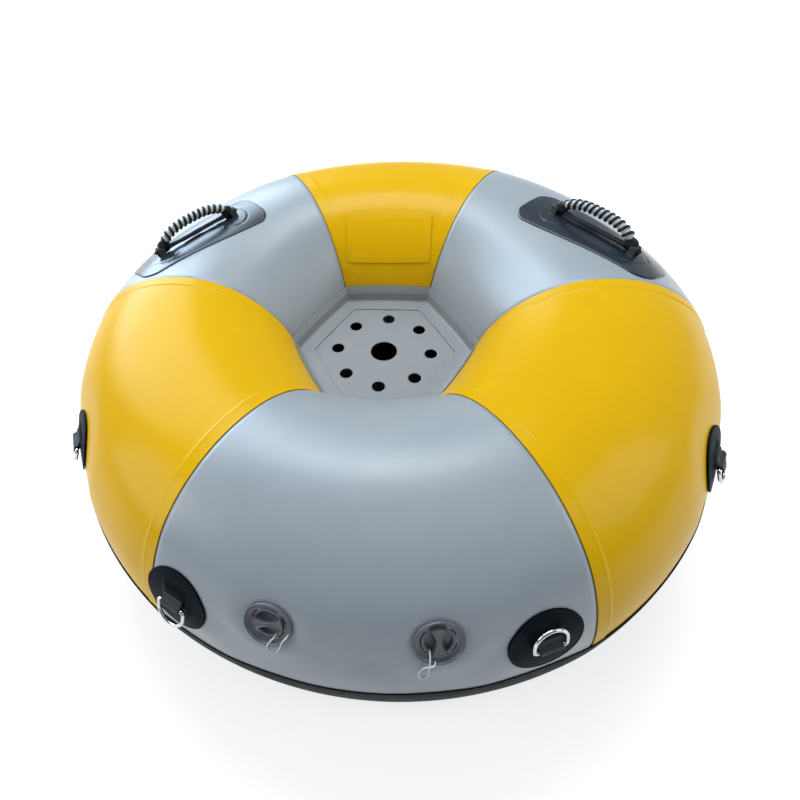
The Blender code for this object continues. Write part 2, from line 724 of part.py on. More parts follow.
def valve_body(name, seat, hole_at, over_fabric):
    """Flange that lies on the fabric, with the neck, its pocket and the ported web below it."""
    turns = [math.radians(90 - 32 * k) for k in range(3)]
    lip = [(FLANGE_RADIUS - FLANGE_ROUND * (1 - math.cos(a)), FLANGE_HEIGHT * math.sin(a))
           for a in turns]
    flange = turned(name + "_body", [
        (0, FLANGE_HEIGHT), *lip, (FLANGE_RADIUS, -TRIM_REACH), (0, -TRIM_REACH)])
    neck = turned(name + "_neck", [
        (0, FLANGE_HEIGHT / 2), (NECK_RADIUS, FLANGE_HEIGHT / 2),
        (NECK_RADIUS, -VALVE_DEPTH), (0, -VALVE_DEPTH)])
    web_top = -(VALVE_DEPTH - WEB_THICKNESS)
    above = FLANGE_HEIGHT + TRIM_REACH
    pocket = turned(name + "_pocket", [
        (0, above), (POCKET_RADIUS + POCKET_FLARE, above),
        (POCKET_RADIUS + POCKET_FLARE, FLANGE_HEIGHT), (POCKET_RADIUS, -FLARE_DEPTH),
        (POCKET_RADIUS, -SHOULDER_DEPTH),
        (BORE_RADIUS, -SHOULDER_DEPTH), (BORE_RADIUS, web_top), (0, web_top)])
    bores = [(0, 0, ROD_RADIUS + ROD_CLEARANCE)]
    for k in range(PORTS):
        turn = math.tau * k / PORTS
        bores.append((PORT_CIRCLE * math.cos(turn), PORT_CIRCLE * math.sin(turn), PORT_RADIUS))
    shape = bmesh.new()
    for x, y, radius in bores:
        bmesh.ops.create_cone(shape, cap_ends=True, segments=6, radius1=radius, radius2=radius,
                              depth=4 * WEB_THICKNESS,
                              matrix=Matrix.Translation((x, y, -VALVE_DEPTH)))
    mesh = bpy.data.meshes.new(name + "_ports")
    shape.to_mesh(mesh)
    shape.free()
    ports = bpy.data.objects.new(name + "_ports", mesh)
    hole = cylinder(name + "_tether_hole", TETHER_HOLE_RADIUS, -TRIM_REACH, above, sides=12)
    for cutter in (neck, pocket, ports):
        keep(place(cutter, seat))
    keep(place(hole, seat, (hole_at[0] / 1000, hole_at[1] / 1000, 0)))
    keep(place(flange, seat), "valve_plastic")
    boolean(flange, "DIFFERENCE", over_fabric)
    boolean(flange, "UNION", neck)
    boolean(flange, "DIFFERENCE", pocket)
    boolean(flange, "DIFFERENCE", ports)
    boolean(flange, "DIFFERENCE", hole)


def bow_tie(radius):
    """The grip's outline: wide ends on the cap's edge and a narrow waist."""
    outline = []
    half_end = GRIP_END_WIDTH / 2
    end_x = math.sqrt(radius**2 - half_end**2)
    for side in (1, -1):
        for k in range(3):
            turn = math.asin(half_end / radius) * (k - 1)
            outline.append((side * radius * math.cos(turn), side * radius * math.sin(turn)))
        for k in range(1, 6):
            x = end_x * (1 - k / 3)
            half = GRIP_WAIST / 2 + (half_end - GRIP_WAIST / 2) * abs(1 - k / 3) ** GRIP_CURVE
            outline.append((side * x, side * half))
    return outline


def valve_cap(name, seat, grip_turn):
    """Screwed cap with its skirt in the bore and a bow-tie grip on top."""
    plate_radius = POCKET_RADIUS - CAP_CLEARANCE
    skirt = BORE_RADIUS - SKIRT_CLEARANCE
    under = -(CAP_TOP_DEPTH + CAP_PLATE)
    cap = turned(name + "_cap", [
        (0, -CAP_TOP_DEPTH), (plate_radius - CAP_CHAMFER, -CAP_TOP_DEPTH),
        (plate_radius, -CAP_TOP_DEPTH - CAP_CHAMFER), (plate_radius, under), (skirt, under),
        (skirt, under - SKIRT_DEPTH), (skirt - SKIRT_WALL, under - SKIRT_DEPTH),
        (skirt - SKIRT_WALL, under), (0, under)])
    height = GRIP_TOP + CAP_TOP_DEPTH + CAP_PLATE / 2
    grip = as_mesh(plate(name + "_grip", [bow_tie(plate_radius - GRIP_INSET)], height))
    grip.rotation_euler.z = math.radians(90 - grip_turn)
    keep(place(grip, seat, (0, 0, GRIP_TOP - height / 2)))
    keep(place(cap, seat), "valve_plastic")
    boolean(cap, "UNION", grip)
    seal_top = under - SEAL_CLEARANCE
    seal_inner, seal_outer = skirt + SEAL_PLAY, plate_radius - SEAL_INSET
    seal = turned(name + "_seal", [
        (seal_outer, seal_top), (seal_outer, seal_top - SEAL_THICKNESS),
        (seal_inner, seal_top - SEAL_THICKNESS), (seal_inner, seal_top)], steps=16)
    keep(place(seal, seat), "seal_rubber")


def valve_inside(name, seat, inside):
    """The nut behind the fabric, the spring-loaded stem with its diaphragm, and the spring."""
    bore = NECK_RADIUS + NECK_CLEARANCE
    nut = turned(name + "_nut", [
        (bore + NUT_WIDTH, TRIM_REACH), (bore + NUT_WIDTH, -NUT_DEPTH), (bore, -NUT_DEPTH),
        (bore, TRIM_REACH)])
    keep(place(nut, seat), "valve_plastic")
    boolean(nut, "INTERSECT", inside)
    button_under = -(BUTTON_DEPTH + BUTTON_THICKNESS)
    seat_under = -(VALVE_DEPTH + GAP)
    stem = turned(name + "_stem", [
        (0, -BUTTON_DEPTH), (BUTTON_RADIUS, -BUTTON_DEPTH), (BUTTON_RADIUS, button_under),
        (ROD_RADIUS, button_under), (ROD_RADIUS, seat_under), (DIAPHRAGM_RADIUS, seat_under),
        (DIAPHRAGM_RADIUS, seat_under - DIAPHRAGM_THICKNESS),
        (0, seat_under - DIAPHRAGM_THICKNESS - DIAPHRAGM_DOME)], steps=12)
    keep(place(stem, seat), "valve_plastic")
    top = button_under - SPRING_WIRE - GAP
    bottom = -(VALVE_DEPTH - WEB_THICKNESS) + SPRING_WIRE + GAP
    count = SPRING_TURNS * 6
    coil = []
    for k in range(count + 1):
        turn = math.tau * SPRING_TURNS * k / count
        coil.append((SPRING_RADIUS * math.cos(turn), SPRING_RADIUS * math.sin(turn),
                     bottom + (top - bottom) * k / count))
    spring = tube_along(name + "_spring", coil, SPRING_WIRE, sides=1)
    keep(place(spring, seat), "spring_steel")


def valves(panel_front, over_fabric, inside):
    for name, theta, phi, grip_turn, hole_at, route in VALVE_PLACES:
        seat = empty(name + "_seat", seat_frame(theta, phi))
        opening = cylinder(name + "_opening", NECK_RADIUS + NECK_CLEARANCE,
                           -TRIM_REACH, TRIM_REACH)
        keep(place(opening, seat))
        boolean(panel_front, "DIFFERENCE", opening)
        valve_body(name, seat, hole_at, over_fabric)
        valve_cap(name, seat, grip_turn)
        valve_inside(name, seat, inside)
        points = smooth_route(np.array(route) / 1000, TETHER_STEP)
        tether = tube_along(name + "_tether", points, TETHER_RADIUS)
        keep(place(tether, seat), "tether_cord")


def handle_pad(name, frame, theta, seat, in_patch):
    """The pad cut from sheet, with the two webbing eyes that the handle hangs in."""
    half_length, half_width = PAD_LENGTH / 2, PAD_WIDTH / 2
    corners = [(-half_length, -half_width), (half_length, -half_width),
               (half_length, half_width), (-half_length, half_width)]
    pad = cut_patch(name + "_pad", frame, theta, HANDLE_PHI, rounded(corners, PAD_CORNER),
                    PATCH_THICKNESS, "black_fabric")
    inner = WEBBING_RADIUS + EYE_CLEARANCE
    outer = inner + EYE_THICKNESS
    foot = -HANDLE_AXIS_HEIGHT - TRIM_REACH
    over = [math.pi * k / 6 for k in range(7)]
    outline = [(outer * math.cos(a), outer * math.sin(a)) for a in over] + [(-outer, foot)]
    outline += [(-inner, foot)] + [(inner * math.cos(a), inner * math.sin(a)) for a in over[::-1]]
    outline += [(inner, foot), (outer, foot)]
    for k, side in enumerate((-1, 1)):
        pivot = Matrix.Translation((side * EYE_SPACING / 2, 0, HANDLE_AXIS_HEIGHT))
        eye = plate(f"{name}_eye_{k + 1}", [outline], EYE_WIDTH)
        eye.matrix_world = (seat.matrix_world @ pivot
                            @ Matrix.Rotation(math.radians(90), 4, "Z")
                            @ Matrix.Rotation(math.radians(90), 4, "X"))
        eye = keep(as_mesh(eye))
        boolean(eye, "DIFFERENCE", in_patch)
        boolean(pad, "UNION", eye)


def handle_grip(name, seat):
    """The rolled webbing that turns in the eyes, and the cord-wound grip arched over it."""
    axis = (0, 0, HANDLE_AXIS_HEIGHT)
    end = EYE_SPACING / 2 + WEBBING_TAIL
    xs = np.linspace(-end, end, 5)
    sag = -WEBBING_SAG * np.cos(np.pi * xs / (2 * end))
    webbing = tube_along(name + "_webbing", [(x, 0, z) for x, z in zip(xs, sag)], WEBBING_RADIUS)
    keep(place(webbing, seat, axis), "webbing")
    start = WEBBING_RADIUS + GAP + GRIP_TIP_RADIUS
    across = np.linspace(-1, 1, 13)
    rise = start + (GRIP_RISE - start) * (1 - np.abs(across) ** GRIP_ARCH)
    taper = np.minimum(1, GRIP_TIP_RADIUS / GRIP_RADIUS + (1 - np.abs(across)) * GRIP_TAPER)
    route = [(x * GRIP_HALF_LENGTH, 0, z) for x, z in zip(across, rise)]
    grip = tube_along(name + "_grip", route, GRIP_RADIUS, radii=taper)
    keep(place(grip, seat, axis), "wound_cord")


def handles(in_patch):
    for name, theta, twist in (
        ("handle_right", HANDLE_THETA, HANDLE_TWIST),
        ("handle_left", 180 - HANDLE_THETA, -HANDLE_TWIST),
    ):
        frame = seat_frame(theta, HANDLE_PHI, twist)
        seat = empty(name + "_seat", frame)
        handle_pad(name, frame, theta, seat, in_patch)
        handle_grip(name, seat)


def main():
    clear_scene()
    over_fabric = tube_solid("tube_over_fabric", GAP)
    in_patch = tube_solid("tube_in_patch", GAP + PATCH_THICKNESS / 2)
    over_patch = tube_solid("tube_over_patch", PATCH_TOP + GAP)
    inside = tube_solid("tube_inside", -(FABRIC + GAP))
    panels = envelope()
    chamber_walls()
    seat_floor()
    back_patch()
    d_rings(over_patch)
    valves(panels["panel_front"], over_fabric, inside)
    handles(in_patch)
    bpy.context.view_layer.update()


main()
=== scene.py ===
"""Looks of the inflatable swim ring: fine fabric, valves, D-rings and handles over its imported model.

Metres, +Z up. A place on the tube is two angles in degrees: theta goes round the ring from +X, and phi
goes round the tube from its outer edge, over the top at 90, to the seat side at 180.
"""

import json
import math

import bpy
import numpy as np
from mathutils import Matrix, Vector


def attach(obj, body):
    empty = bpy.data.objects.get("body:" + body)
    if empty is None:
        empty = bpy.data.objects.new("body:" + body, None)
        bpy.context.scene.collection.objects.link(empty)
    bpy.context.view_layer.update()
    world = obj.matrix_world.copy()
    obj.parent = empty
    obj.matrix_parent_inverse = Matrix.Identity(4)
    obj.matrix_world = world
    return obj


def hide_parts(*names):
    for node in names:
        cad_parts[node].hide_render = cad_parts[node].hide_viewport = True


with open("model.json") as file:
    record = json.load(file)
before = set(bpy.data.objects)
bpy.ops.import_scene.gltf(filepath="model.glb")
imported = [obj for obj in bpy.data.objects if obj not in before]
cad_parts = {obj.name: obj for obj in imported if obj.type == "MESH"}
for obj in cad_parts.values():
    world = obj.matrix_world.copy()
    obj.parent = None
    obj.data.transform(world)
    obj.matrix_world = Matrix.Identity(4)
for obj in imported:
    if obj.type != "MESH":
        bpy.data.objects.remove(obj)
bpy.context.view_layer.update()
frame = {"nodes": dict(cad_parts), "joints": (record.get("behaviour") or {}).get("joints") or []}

joints = {joint["name"]: joint for joint in frame["joints"]}

# The tube, as in the solids
OUTER_RADIUS, TUBE_RADIUS, TUBE_HALF_HEIGHT = 0.600, 0.226, 0.234
CORNER_OUTER, CORNER_TOP, CORNER_INNER, CORNER_FADE = 0.04, 0.13, 0.97, 3.0
MIDLINE = OUTER_RADIUS - TUBE_RADIUS
BASE_CUT = TUBE_HALF_HEIGHT * math.cos(math.radians(12))
BASE_ROUND = 0.0012
FABRIC, GAP = 0.0010, 0.0004
SKIN_HEIGHT = FABRIC + GAP
CENTRE_HEIGHT = BASE_CUT + SKIN_HEIGHT
FLOOR_RISE = 0.055
FLOOR_TOP = CENTRE_HEIGHT + FLOOR_RISE
BLACK_EDGE, BLACK_INNER_EDGE = 11.5, 182.0
BAND_TOP, BAND_BOTTOM = 157.5, 188.0
PANEL_BOTTOM, PANEL_TOP = 3.5, 161.0
RING_MEAN_RADIUS, TUBE_MEAN_RADIUS = 0.42, 0.23

# Places from a cut edge inwards at which a sheet has points, so that the edge can be rounded
EDGE_STEPS = (0, 0.0003, 0.0008, 0.0016)
WIDE_EDGE_STEPS = (0, 0.0003, 0.0008, 0.0020)

# Distances in millimetres from a seam at which a grey and a yellow panel have points. Under the pressed
# line of the yellow one the grey edge ends.
GREY_ZONE = (-22, -21.5, -14, -7, -2, 0, 0.7, 1.4, 2.2, 3.2, 4.6, 6.5, 9.5, 15)
YELLOW_ZONE = (0, 0.25, 0.6, 1.1, 2, 5, 9, 13, 16.5, 18.5, 19.6, 20.6, 21.5, 22.4, 23.4, 24.6, 26.5, 30)
LAP_LINE, LAP_STEP, LAP_SLOPE, LAP_RIDGE = 0.0196, 0.0008, 0.0044, 0.0003
PANEL_ROWS, PANEL_COLUMNS = 116, 50

# Seat floor
FLOOR_GRID, FLOOR_HALF, FLOOR_THICKNESS = 0.0022, 0.196, 0.0012
CENTRE_HOLE, DRAIN_HOLE, DRAIN_CIRCLE, DRAIN_TURN = 0.0265, 0.0125, 0.0952, 86.6

# Patches and D-ring sets
PATCH_THICKNESS, PATCH_RADIUS = 0.0020, 0.050
GROOVE_RADIUS, GROOVE_INSET, GROOVE_DEPTH, GROOVE_WIDTH = 0.0452, 0.0060, 0.0004, 0.0008
WIRE = 0.0025
D_HALF_WIDTH, D_HEIGHT, D_LEG, D_CORNER = 0.0215, 0.035, 0.011, 0.004
D_LEAN = math.radians(3.0)
BAR_BELOW, BAR_HEIGHT = 0.004, 0.0072
SLIT, STRAP_HALF_WIDTH, STRAP_THICKNESS = 0.0068, 0.0155, 0.0026
D_PLACES = {
    "front_left": (-115.6, 28.9, -1), "front_right": (-67.1, 27.4, 1), "left": (-150.0, 31.0, -1),
    "right": (-28.0, 30.0, -1), "back_left": (160.0, 30.0, -1), "back_right": (20.0, 30.0, -1),
    "tow": (90.0, 31.0, -1),
}

# Valves: theta, phi, turn of the grip, and the tether's route in millimetres from the valve's middle
VALVE_PLACES = {
    "valve_left": (-101.6, 36.8, 78.0, (
        (10.3, -13.6, -1.9), (10.5, -14.2, 1.4), (9.4, -15.9, 5.0), (6.8, -18.8, 7.1),
        (4.6, -23.4, 7.1), (2.8, -28.6, 6.0), (1.4, -33.4, 2.8), (0.0, -37.6, 0.6),
        (-0.6, -41.4, -0.8), (1.0, -45.2, -1.9), (5.8, -47.2, -2.5), (11.4, -44.0, -1.8),
        (14.8, -37.8, 0.0), (17.2, -31.8, 2.8), (18.9, -26.6, 5.6), (20.6, -20.0, 7.4),
        (22.2, -14.2, 8.4), (23.8, -10.4, 8.9), (25.7, -7.7, 8.2), (27.0, -6.0, 5.8),
        (27.4, -5.4, 1.8))),
    "valve_right": (-80.4, 36.5, 0.0, (
        (-11.2, -12.4, -1.9), (-11.3, -13.4, 1.2), (-11.7, -16.2, 4.8), (-12.3, -20.6, 7.0),
        (-13.2, -26.8, 7.0), (-13.6, -33.4, 4.2), (-13.5, -40.2, 0.8), (-13.4, -47.4, -2.4),
        (-13.9, -54.0, -4.4), (-16.0, -59.4, -6.0), (-19.8, -61.3, -6.5), (-23.4, -59.5, -6.0),
        (-25.4, -54.6, -4.4), (-25.1, -48.8, -2.7), (-23.6, -42.2, -0.4), (-21.2, -35.8, 2.9),
        (-17.4, -30.6, 6.4), (-13.0, -28.2, 8.5), (-9.6, -27.4, 8.7), (-7.3, -27.1, 7.4),
        (-6.1, -27.0, 4.8), (-5.8, -27.0, 1.8))),
}
TETHER_EYES = {"valve_left": ((27.4, -5.4), (8.6, -26.2)),
               "valve_right": ((-5.8, -27.0), (-14.2, -23.8), (10.8, -25.2))}
TETHER_RADIUS, TETHER_SPACING = 0.0009, 0.0024
VALVE_HOLE, VALVE_HOLLOW = 0.0255, 0.0030
CAP_RADIUS, CAP_DEPTH = 21.3, 0.0066

# Handles
HANDLE_PLACES = {"handle_right": (20.2, 84.0), "handle_left": (159.8, 84.0)}
PAD_LENGTH, PAD_WIDTH, PAD_CORNER = 0.285, 0.100, 0.030
EYE_SPACING, AXIS_HEIGHT = 0.166, 0.0088
EYE_RADIUS, EYE_HALF_WIDTH, EYE_FOOT = 0.0067, 0.0068, 0.0105
ARC_RADIUS, ARC_DEPTH = 0.0345, 0.0009
GRIP_HALF_LENGTH, GRIP_RISE, WEBBING_RADIUS = 0.072, 0.027, 0.0046
GRIP_ARCH, WEBBING_SAG = 3.0, 0.001
CORE_RADIUS, CORD_HALF_WIDTH, KNOT_HALF_WIDTH, CORD_HALF_HEIGHT = 0.0066, 0.0028, 0.0026, 0.0017
GRIP_TURNS, KNOT_TURNS, KNOT_LENGTH = 13.5, 5.5, 0.0185

# The bright patch of sky that glossy pieces show
WINDOW_TOWARDS, WINDOW_BRIGHTNESS = (-0.60, 0.62, 0.50), 11.0


def placed(name, data):
    """A new object of the scene that shows this data."""
    made = bpy.data.objects.new(name, data)
    bpy.context.scene.collection.objects.link(made)
    return made


# ---- camera

def photo_camera():
    yaw, pitch, roll = (math.radians(a) for a in (-9.7653, -54.0271, -5.8906))
    forward = Vector((math.sin(yaw) * math.cos(pitch), math.cos(yaw) * math.cos(pitch), math.sin(pitch)))
    level = Vector((math.cos(yaw), -math.sin(yaw), 0))
    rise = level.cross(forward)
    right = level * math.cos(roll) + rise * math.sin(roll)
    up = rise * math.cos(roll) - level * math.sin(roll)
    lens = bpy.data.cameras.new("photo_camera")
    lens.lens, lens.sensor_width = 19.811, 36
    lens.shift_x, lens.shift_y = 0.05423, 0.02277
    lens.clip_start, lens.clip_end = 0.02, 60
    camera = placed("photo_camera", lens)
    for column, axis in enumerate((right, up, -forward, Vector((0.0391, -0.6379, 0.9368)))):
        camera.matrix_world.col[column][:3] = axis
    bpy.context.scene.camera = camera


# ---- arrays

def unit(vectors):
    return vectors / np.linalg.norm(vectors, axis=-1, keepdims=True)


def eased(value, low, high):
    """0 below low, 1 above high, and 3t^2 - 2t^3 between them."""
    t = np.clip((value - low) / (high - low), 0, 1)
    return t * t * (3 - 2 * t)


def bell(value, middle, width):
    """1 at the middle, falling off on both sides like a bell curve of this width."""
    return np.exp(-(((value - middle) / width) ** 2))


def paired(first, second):
    """Two arrays of coordinates as one array of pairs."""
    return np.stack(np.broadcast_arrays(first, second), axis=-1)


def travelled(points):
    """The way along a row of points from the first one to each of them."""
    return np.concatenate([[0], np.cumsum(np.linalg.norm(np.diff(points, axis=0), axis=1))])


def bent(start, corner, end, t):
    """The quadratic curve from start to end that is drawn towards the corner."""
    return start * (1 - t) ** 2 + 2 * corner * t * (1 - t) + end * t**2


def lines(half, count, steps=EDGE_STEPS):
    """Places from -half to half, close together at both ends so that the cut edges can be rounded."""
    start = -half + np.array(steps)
    return np.concatenate([start, np.linspace(start[-1], -start[-1], count)[1:-1], -start[::-1]])


def rounded_off(distance, thickness=FABRIC):
    """How far a sheet's top falls at this distance from its cut edge."""
    return -0.45 * thickness * np.clip(1 - distance / (0.9 * thickness), 0, 1) ** 2


def round_ends(rows, middle, half_height, corner):
    """How much narrower a sheet with round corners is at each row, for corners of this radius."""
    cut = np.maximum(np.abs(rows - middle) - (half_height - corner), 0)
    return np.sqrt(np.maximum(corner**2 - cut**2, 0)) - corner


# ---- the tube's surface

def smooth_tube(theta, phi):
    """An ellipse carried round a circle whose radius is divided by the cosine of the angle from the
    panel's middle, to a power that grows from the outer edge to the seat side. The underside is flat."""
    lean = np.cos(np.radians(phi))
    off = np.radians(np.mod(theta, 60) - 30)
    outside = CORNER_TOP + (CORNER_OUTER - CORNER_TOP) * lean
    inside = CORNER_TOP + (CORNER_INNER - CORNER_TOP) * np.abs(lean) ** CORNER_FADE
    radius = (MIDLINE + TUBE_RADIUS * lean) / np.cos(off) ** np.where(lean > 0, outside, inside)
    over = TUBE_HALF_HEIGHT * np.sin(np.radians(phi)) + BASE_CUT
    level = (over + np.sqrt(over**2 + BASE_ROUND**2)) / 2 + SKIN_HEIGHT
    turn = np.radians(theta)
    return np.stack([radius * np.cos(turn), radius * np.sin(turn), level], axis=-1)


class Seat:
    """A place on the tube that carries an assembly: x along the ring, y up round the tube, z outwards."""

    def __init__(self, theta, phi, pivot, x_axis=None, z_axis=None, offset=(0, 0, 0), reach=(0.11, 0.11),
                 plane=False):
        self.theta, self.phi = theta, phi
        here = smooth_tube(theta, phi)
        step = 0.01
        along, around = smooth_tube(theta + step, phi) - here, smooth_tube(theta, phi + step) - here
        normal = unit(np.cross(along, around))
        if z_axis is None:
            self.x = unit(np.array(x_axis, float))
            self.z = unit(normal - self.x * (normal @ self.x))
        else:
            self.z = unit(np.array(z_axis, float))
            level = np.array([-math.sin(math.radians(theta)), math.cos(math.radians(theta)), 0])
            self.x = unit(level - self.z * (level @ self.z))
        self.y = np.cross(self.z, self.x)
        self.pivot = np.array(pivot, float)
        self.origin = self.pivot - offset[0] * self.x - offset[1] * self.y - offset[2] * self.z
        self.depth = (here - self.origin) @ self.z
        self.reach, self.plane = reach, plane

    def put(self, x, y, z, pivot=False):
        """Points of this seat's own frame as points of the object."""
        x, y, z = np.broadcast_arrays(x, y, z)
        start = self.pivot if pivot else self.origin
        return start + x[..., None] * self.x + y[..., None] * self.y + z[..., None] * self.z

    def local(self, points):
        """Points of the object in this seat's own frame."""
        away = points - self.origin
        return away @ self.x, away @ self.y, away @ self.z


def find_seats():
    seats = {}
    for name, (theta, phi, rests) in D_PLACES.items():
        swing = joints[name + "_ring_swing"]
        reach = (0.17, 0.15) if name == "tow" else (0.11, 0.11)
        seats[name] = Seat(theta, phi, swing["pos_m"], x_axis=[rests * a for a in swing["axis"]],
                           offset=(0, -BAR_BELOW, BAR_HEIGHT), reach=reach)
    for name, (theta, phi, *_) in VALVE_PLACES.items():
        inwards = joints[name + "_stem_push"]["axis"]
        seats[name] = Seat(theta, phi, joints[name + "_cap_turn"]["pos_m"], z_axis=[-a for a in inwards],
                           reach=(0.054, 0.054), plane=True)
    for name, (theta, phi) in HANDLE_PLACES.items():
        fold = joints[name + "_fold"]
        seats[name] = Seat(theta, phi, fold["pos_m"], x_axis=fold["axis"], offset=(0, 0, AXIS_HEIGHT),
                           reach=(0.26, 0.14))
    return seats


seats = find_seats()


def tube(theta, phi):
    """The smooth tube, drawn down to the level of its fittings round each of them. Under a valve it is
    flat, and it has a shallow hollow below the valve, where the tether lies on it."""
    points = smooth_tube(theta, phi)
    for seat in seats.values():
        x, y, height = seat.local(points)
        away = np.sqrt((x / seat.reach[0]) ** 2 + (y / seat.reach[1]) ** 2 + (height / 0.12) ** 2)
        if seat.plane:
            drop = (height + GAP) * (1 - eased(away, 0.50, 0.92))
            hollow = VALVE_HOLLOW * eased(-y, 0.0, 0.03)
            drop = drop + hollow * eased(away, 0.60, 1.25) * (1 - eased(away, 1.3, 2.2))
        else:
            drop = seat.depth * (1 - eased(away, 0.52, 1.0))
        points = points - drop[..., None] * seat.z
    return points


def on_tube(theta, phi, height=0.0):
    """Points at this height over the fabric, and the outward normals there."""
    theta, phi = np.broadcast_arrays(theta, phi)
    step = 0.05
    along = tube(theta + step, phi) - tube(theta - step, phi)
    around = tube(theta, phi + step) - tube(theta, phi - step)
    normals = unit(np.cross(along, around))
    return tube(theta, phi) + normals * np.asarray(height)[..., None], normals


def on_seat(seat, x, y, height=0.0):
    """Points over the fabric that are at (x, y) seen straight down the seat's axis, by Newton's steps."""
    x, y = np.broadcast_arrays(x, y)
    theta, phi = np.full(x.shape, seat.theta), np.full(x.shape, seat.phi)
    step = 0.05
    for _ in range(5):
        here = tube(theta, phi)
        along, around = (tube(theta + step, phi) - here) / step, (tube(theta, phi + step) - here) / step
        at_x, at_y, _ = seat.local(here)
        miss_x, miss_y = x - at_x, y - at_y
        a, b, c, d = along @ seat.x, around @ seat.x, along @ seat.y, around @ seat.y
        size = a * d - b * c
        theta = theta + (d * miss_x - b * miss_y) / size
        phi = phi + (a * miss_y - c * miss_x) / size
    return on_tube(theta, phi, height)


# ---- meshes

def mesh_piece(name, points, faces, finish, body="tube", node=None, uv=None, edge=None, caps=(), sharp=50):
    """A piece from arrays of points and four-cornered faces, with end caps, its UV map in metres and its
    distance from a cut edge as an attribute. It rides on a body and stands for a node of the solids."""
    mesh = bpy.data.meshes.new(name)
    mesh.from_pydata(points.reshape(-1, 3).tolist(), [], faces.tolist() + [list(cap) for cap in caps])
    mesh.update(calc_edges=True)
    mesh.validate()
    if uv is not None:
        corners = np.empty(len(mesh.loops), np.int32)
        mesh.loops.foreach_get("vertex_index", corners)
        places = uv.reshape(-1, 2)[corners].astype(np.float32).ravel()
        mesh.uv_layers.new(name="UVMap").data.foreach_set("uv", places)
    if edge is not None:
        values = mesh.attributes.new("edge", "FLOAT", "POINT").data
        values.foreach_set("value", edge.astype(np.float32).ravel())
    mesh.shade_smooth()
    mesh.set_sharp_from_angle(angle=math.radians(sharp))
    mesh.materials.append(finishes[finish])
    piece = placed(name, mesh)
    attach(piece, body)
    if node:
        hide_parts(node)
    return piece


def grid_faces(columns, rows, ring=False, tube_like=False):
    """The faces of a grid of points, numbered along its rows, closed in either direction if asked."""
    i, j = np.meshgrid(np.arange(columns - (not ring)), np.arange(rows - (not tube_like)), indexing="ij")
    right, above = (i + 1) % columns, (j + 1) % rows
    corners = [i * rows + j, right * rows + j, right * rows + above, i * rows + above]
    return np.stack(corners, axis=-1).reshape(-1, 4)


def end_caps(count, sides):
    """The two end faces of a bar of count points with this many points round its section."""
    return [range(sides), range(count - 1, count - sides - 1, -1)]


def rims(faces, count):
    """The walls of a sheet: one from each edge that only a single face has down to the layer below."""
    start, end = faces.ravel(), np.roll(faces, -1, axis=1).ravel()
    alone = ~np.isin(start * count + end, end * count + start)
    here, there = start[alone], end[alone]
    return np.stack([there, here, here + count, there + count], axis=-1)


def shell(name, top, normals, thickness, finish, ring=False, uv=None, edge=None, gone=None, **more):
    """A sheet with its wall: the grid of points, the same grid one thickness below, and the rims that join
    them. Faces whose four points are all gone are left out."""
    under = top - normals * np.asarray(thickness)[..., None]
    outside = grid_faces(*top.shape[:2], ring)
    used = np.arange(top.size // 3)
    if gone is not None:
        outside = outside[~gone.ravel()[outside].all(axis=1)]
        used, outside = np.unique(outside, return_inverse=True)
        outside = outside.reshape(-1, 4)
    count = len(used)
    faces = np.vstack([outside, outside[:, ::-1] + count, rims(outside, count)])
    points = np.concatenate([top.reshape(-1, 3)[used], under.reshape(-1, 3)[used]])
    if uv is not None:
        uv = np.concatenate([uv.reshape(-1, 2)[used]] * 2)
    if edge is not None:
        edge = np.concatenate([edge.ravel()[used], 0 * edge.ravel()[used]])
    return mesh_piece(name, points, faces, finish, uv=uv, edge=edge, **more)


def patch(name, node, seat, x, y, height, thickness, finish, edge):
    """A sheet laid on the fabric round a seat, with its top at this height."""
    points, normals = on_seat(seat, x, y, height)
    shell(name, points, normals, thickness, finish, uv=paired(x, y), edge=edge, node=node)


def sweep(name, path, side, half_width, half_height, finish, sides=20, closed=False, power=1.0, **more):
    """A bar whose section is carried along a path: half_width along side, half_height across it. The
    section's cosine and sine are raised to this power, so less than 1 squares it up."""
    side = np.broadcast_to(side, path.shape)
    ahead = np.roll(path, -1, 0) - np.roll(path, 1, 0) if closed else np.gradient(path, axis=0)
    ahead = unit(ahead)
    side = unit(side - ahead * (side * ahead).sum(-1, keepdims=True))
    across = np.cross(ahead, side)
    turn = np.linspace(0, 2 * np.pi, sides, endpoint=False)
    bend = lambda wave: np.sign(wave) * np.abs(wave) ** power
    wide = np.broadcast_to(half_width, len(path))[:, None, None] * bend(np.cos(turn))[None, :, None]
    high = np.broadcast_to(half_height, len(path))[:, None, None] * bend(np.sin(turn))[None, :, None]
    points = path[:, None] + side[:, None] * wide + across[:, None] * high
    uv = paired(travelled(path)[:, None], turn[None] * float(np.max(half_width)))
    faces = grid_faces(len(path), sides, ring=closed, tube_like=True)
    caps = [] if closed else end_caps(len(path) * sides, sides)
    return mesh_piece(name, points, faces, finish, uv=uv, caps=caps, **more)


def softened(corners, radius):
    """A closed outline with each corner replaced by three points of a quadratic curve that starts radius
    before it."""
    corners = np.asarray(corners, float)
    before, after = np.roll(corners, 1, 0), np.roll(corners, -1, 0)
    reach = lambda other: np.minimum(radius, np.linalg.norm(other - corners, axis=1) * 0.45)[:, None]
    start = corners + unit(before - corners) * reach(before)
    end = corners + unit(after - corners) * reach(after)
    curves = bent(start[:, None], corners[:, None], end[:, None], np.linspace(0, 1, 3)[None, :, None])
    return curves.reshape(-1, corners.shape[1])


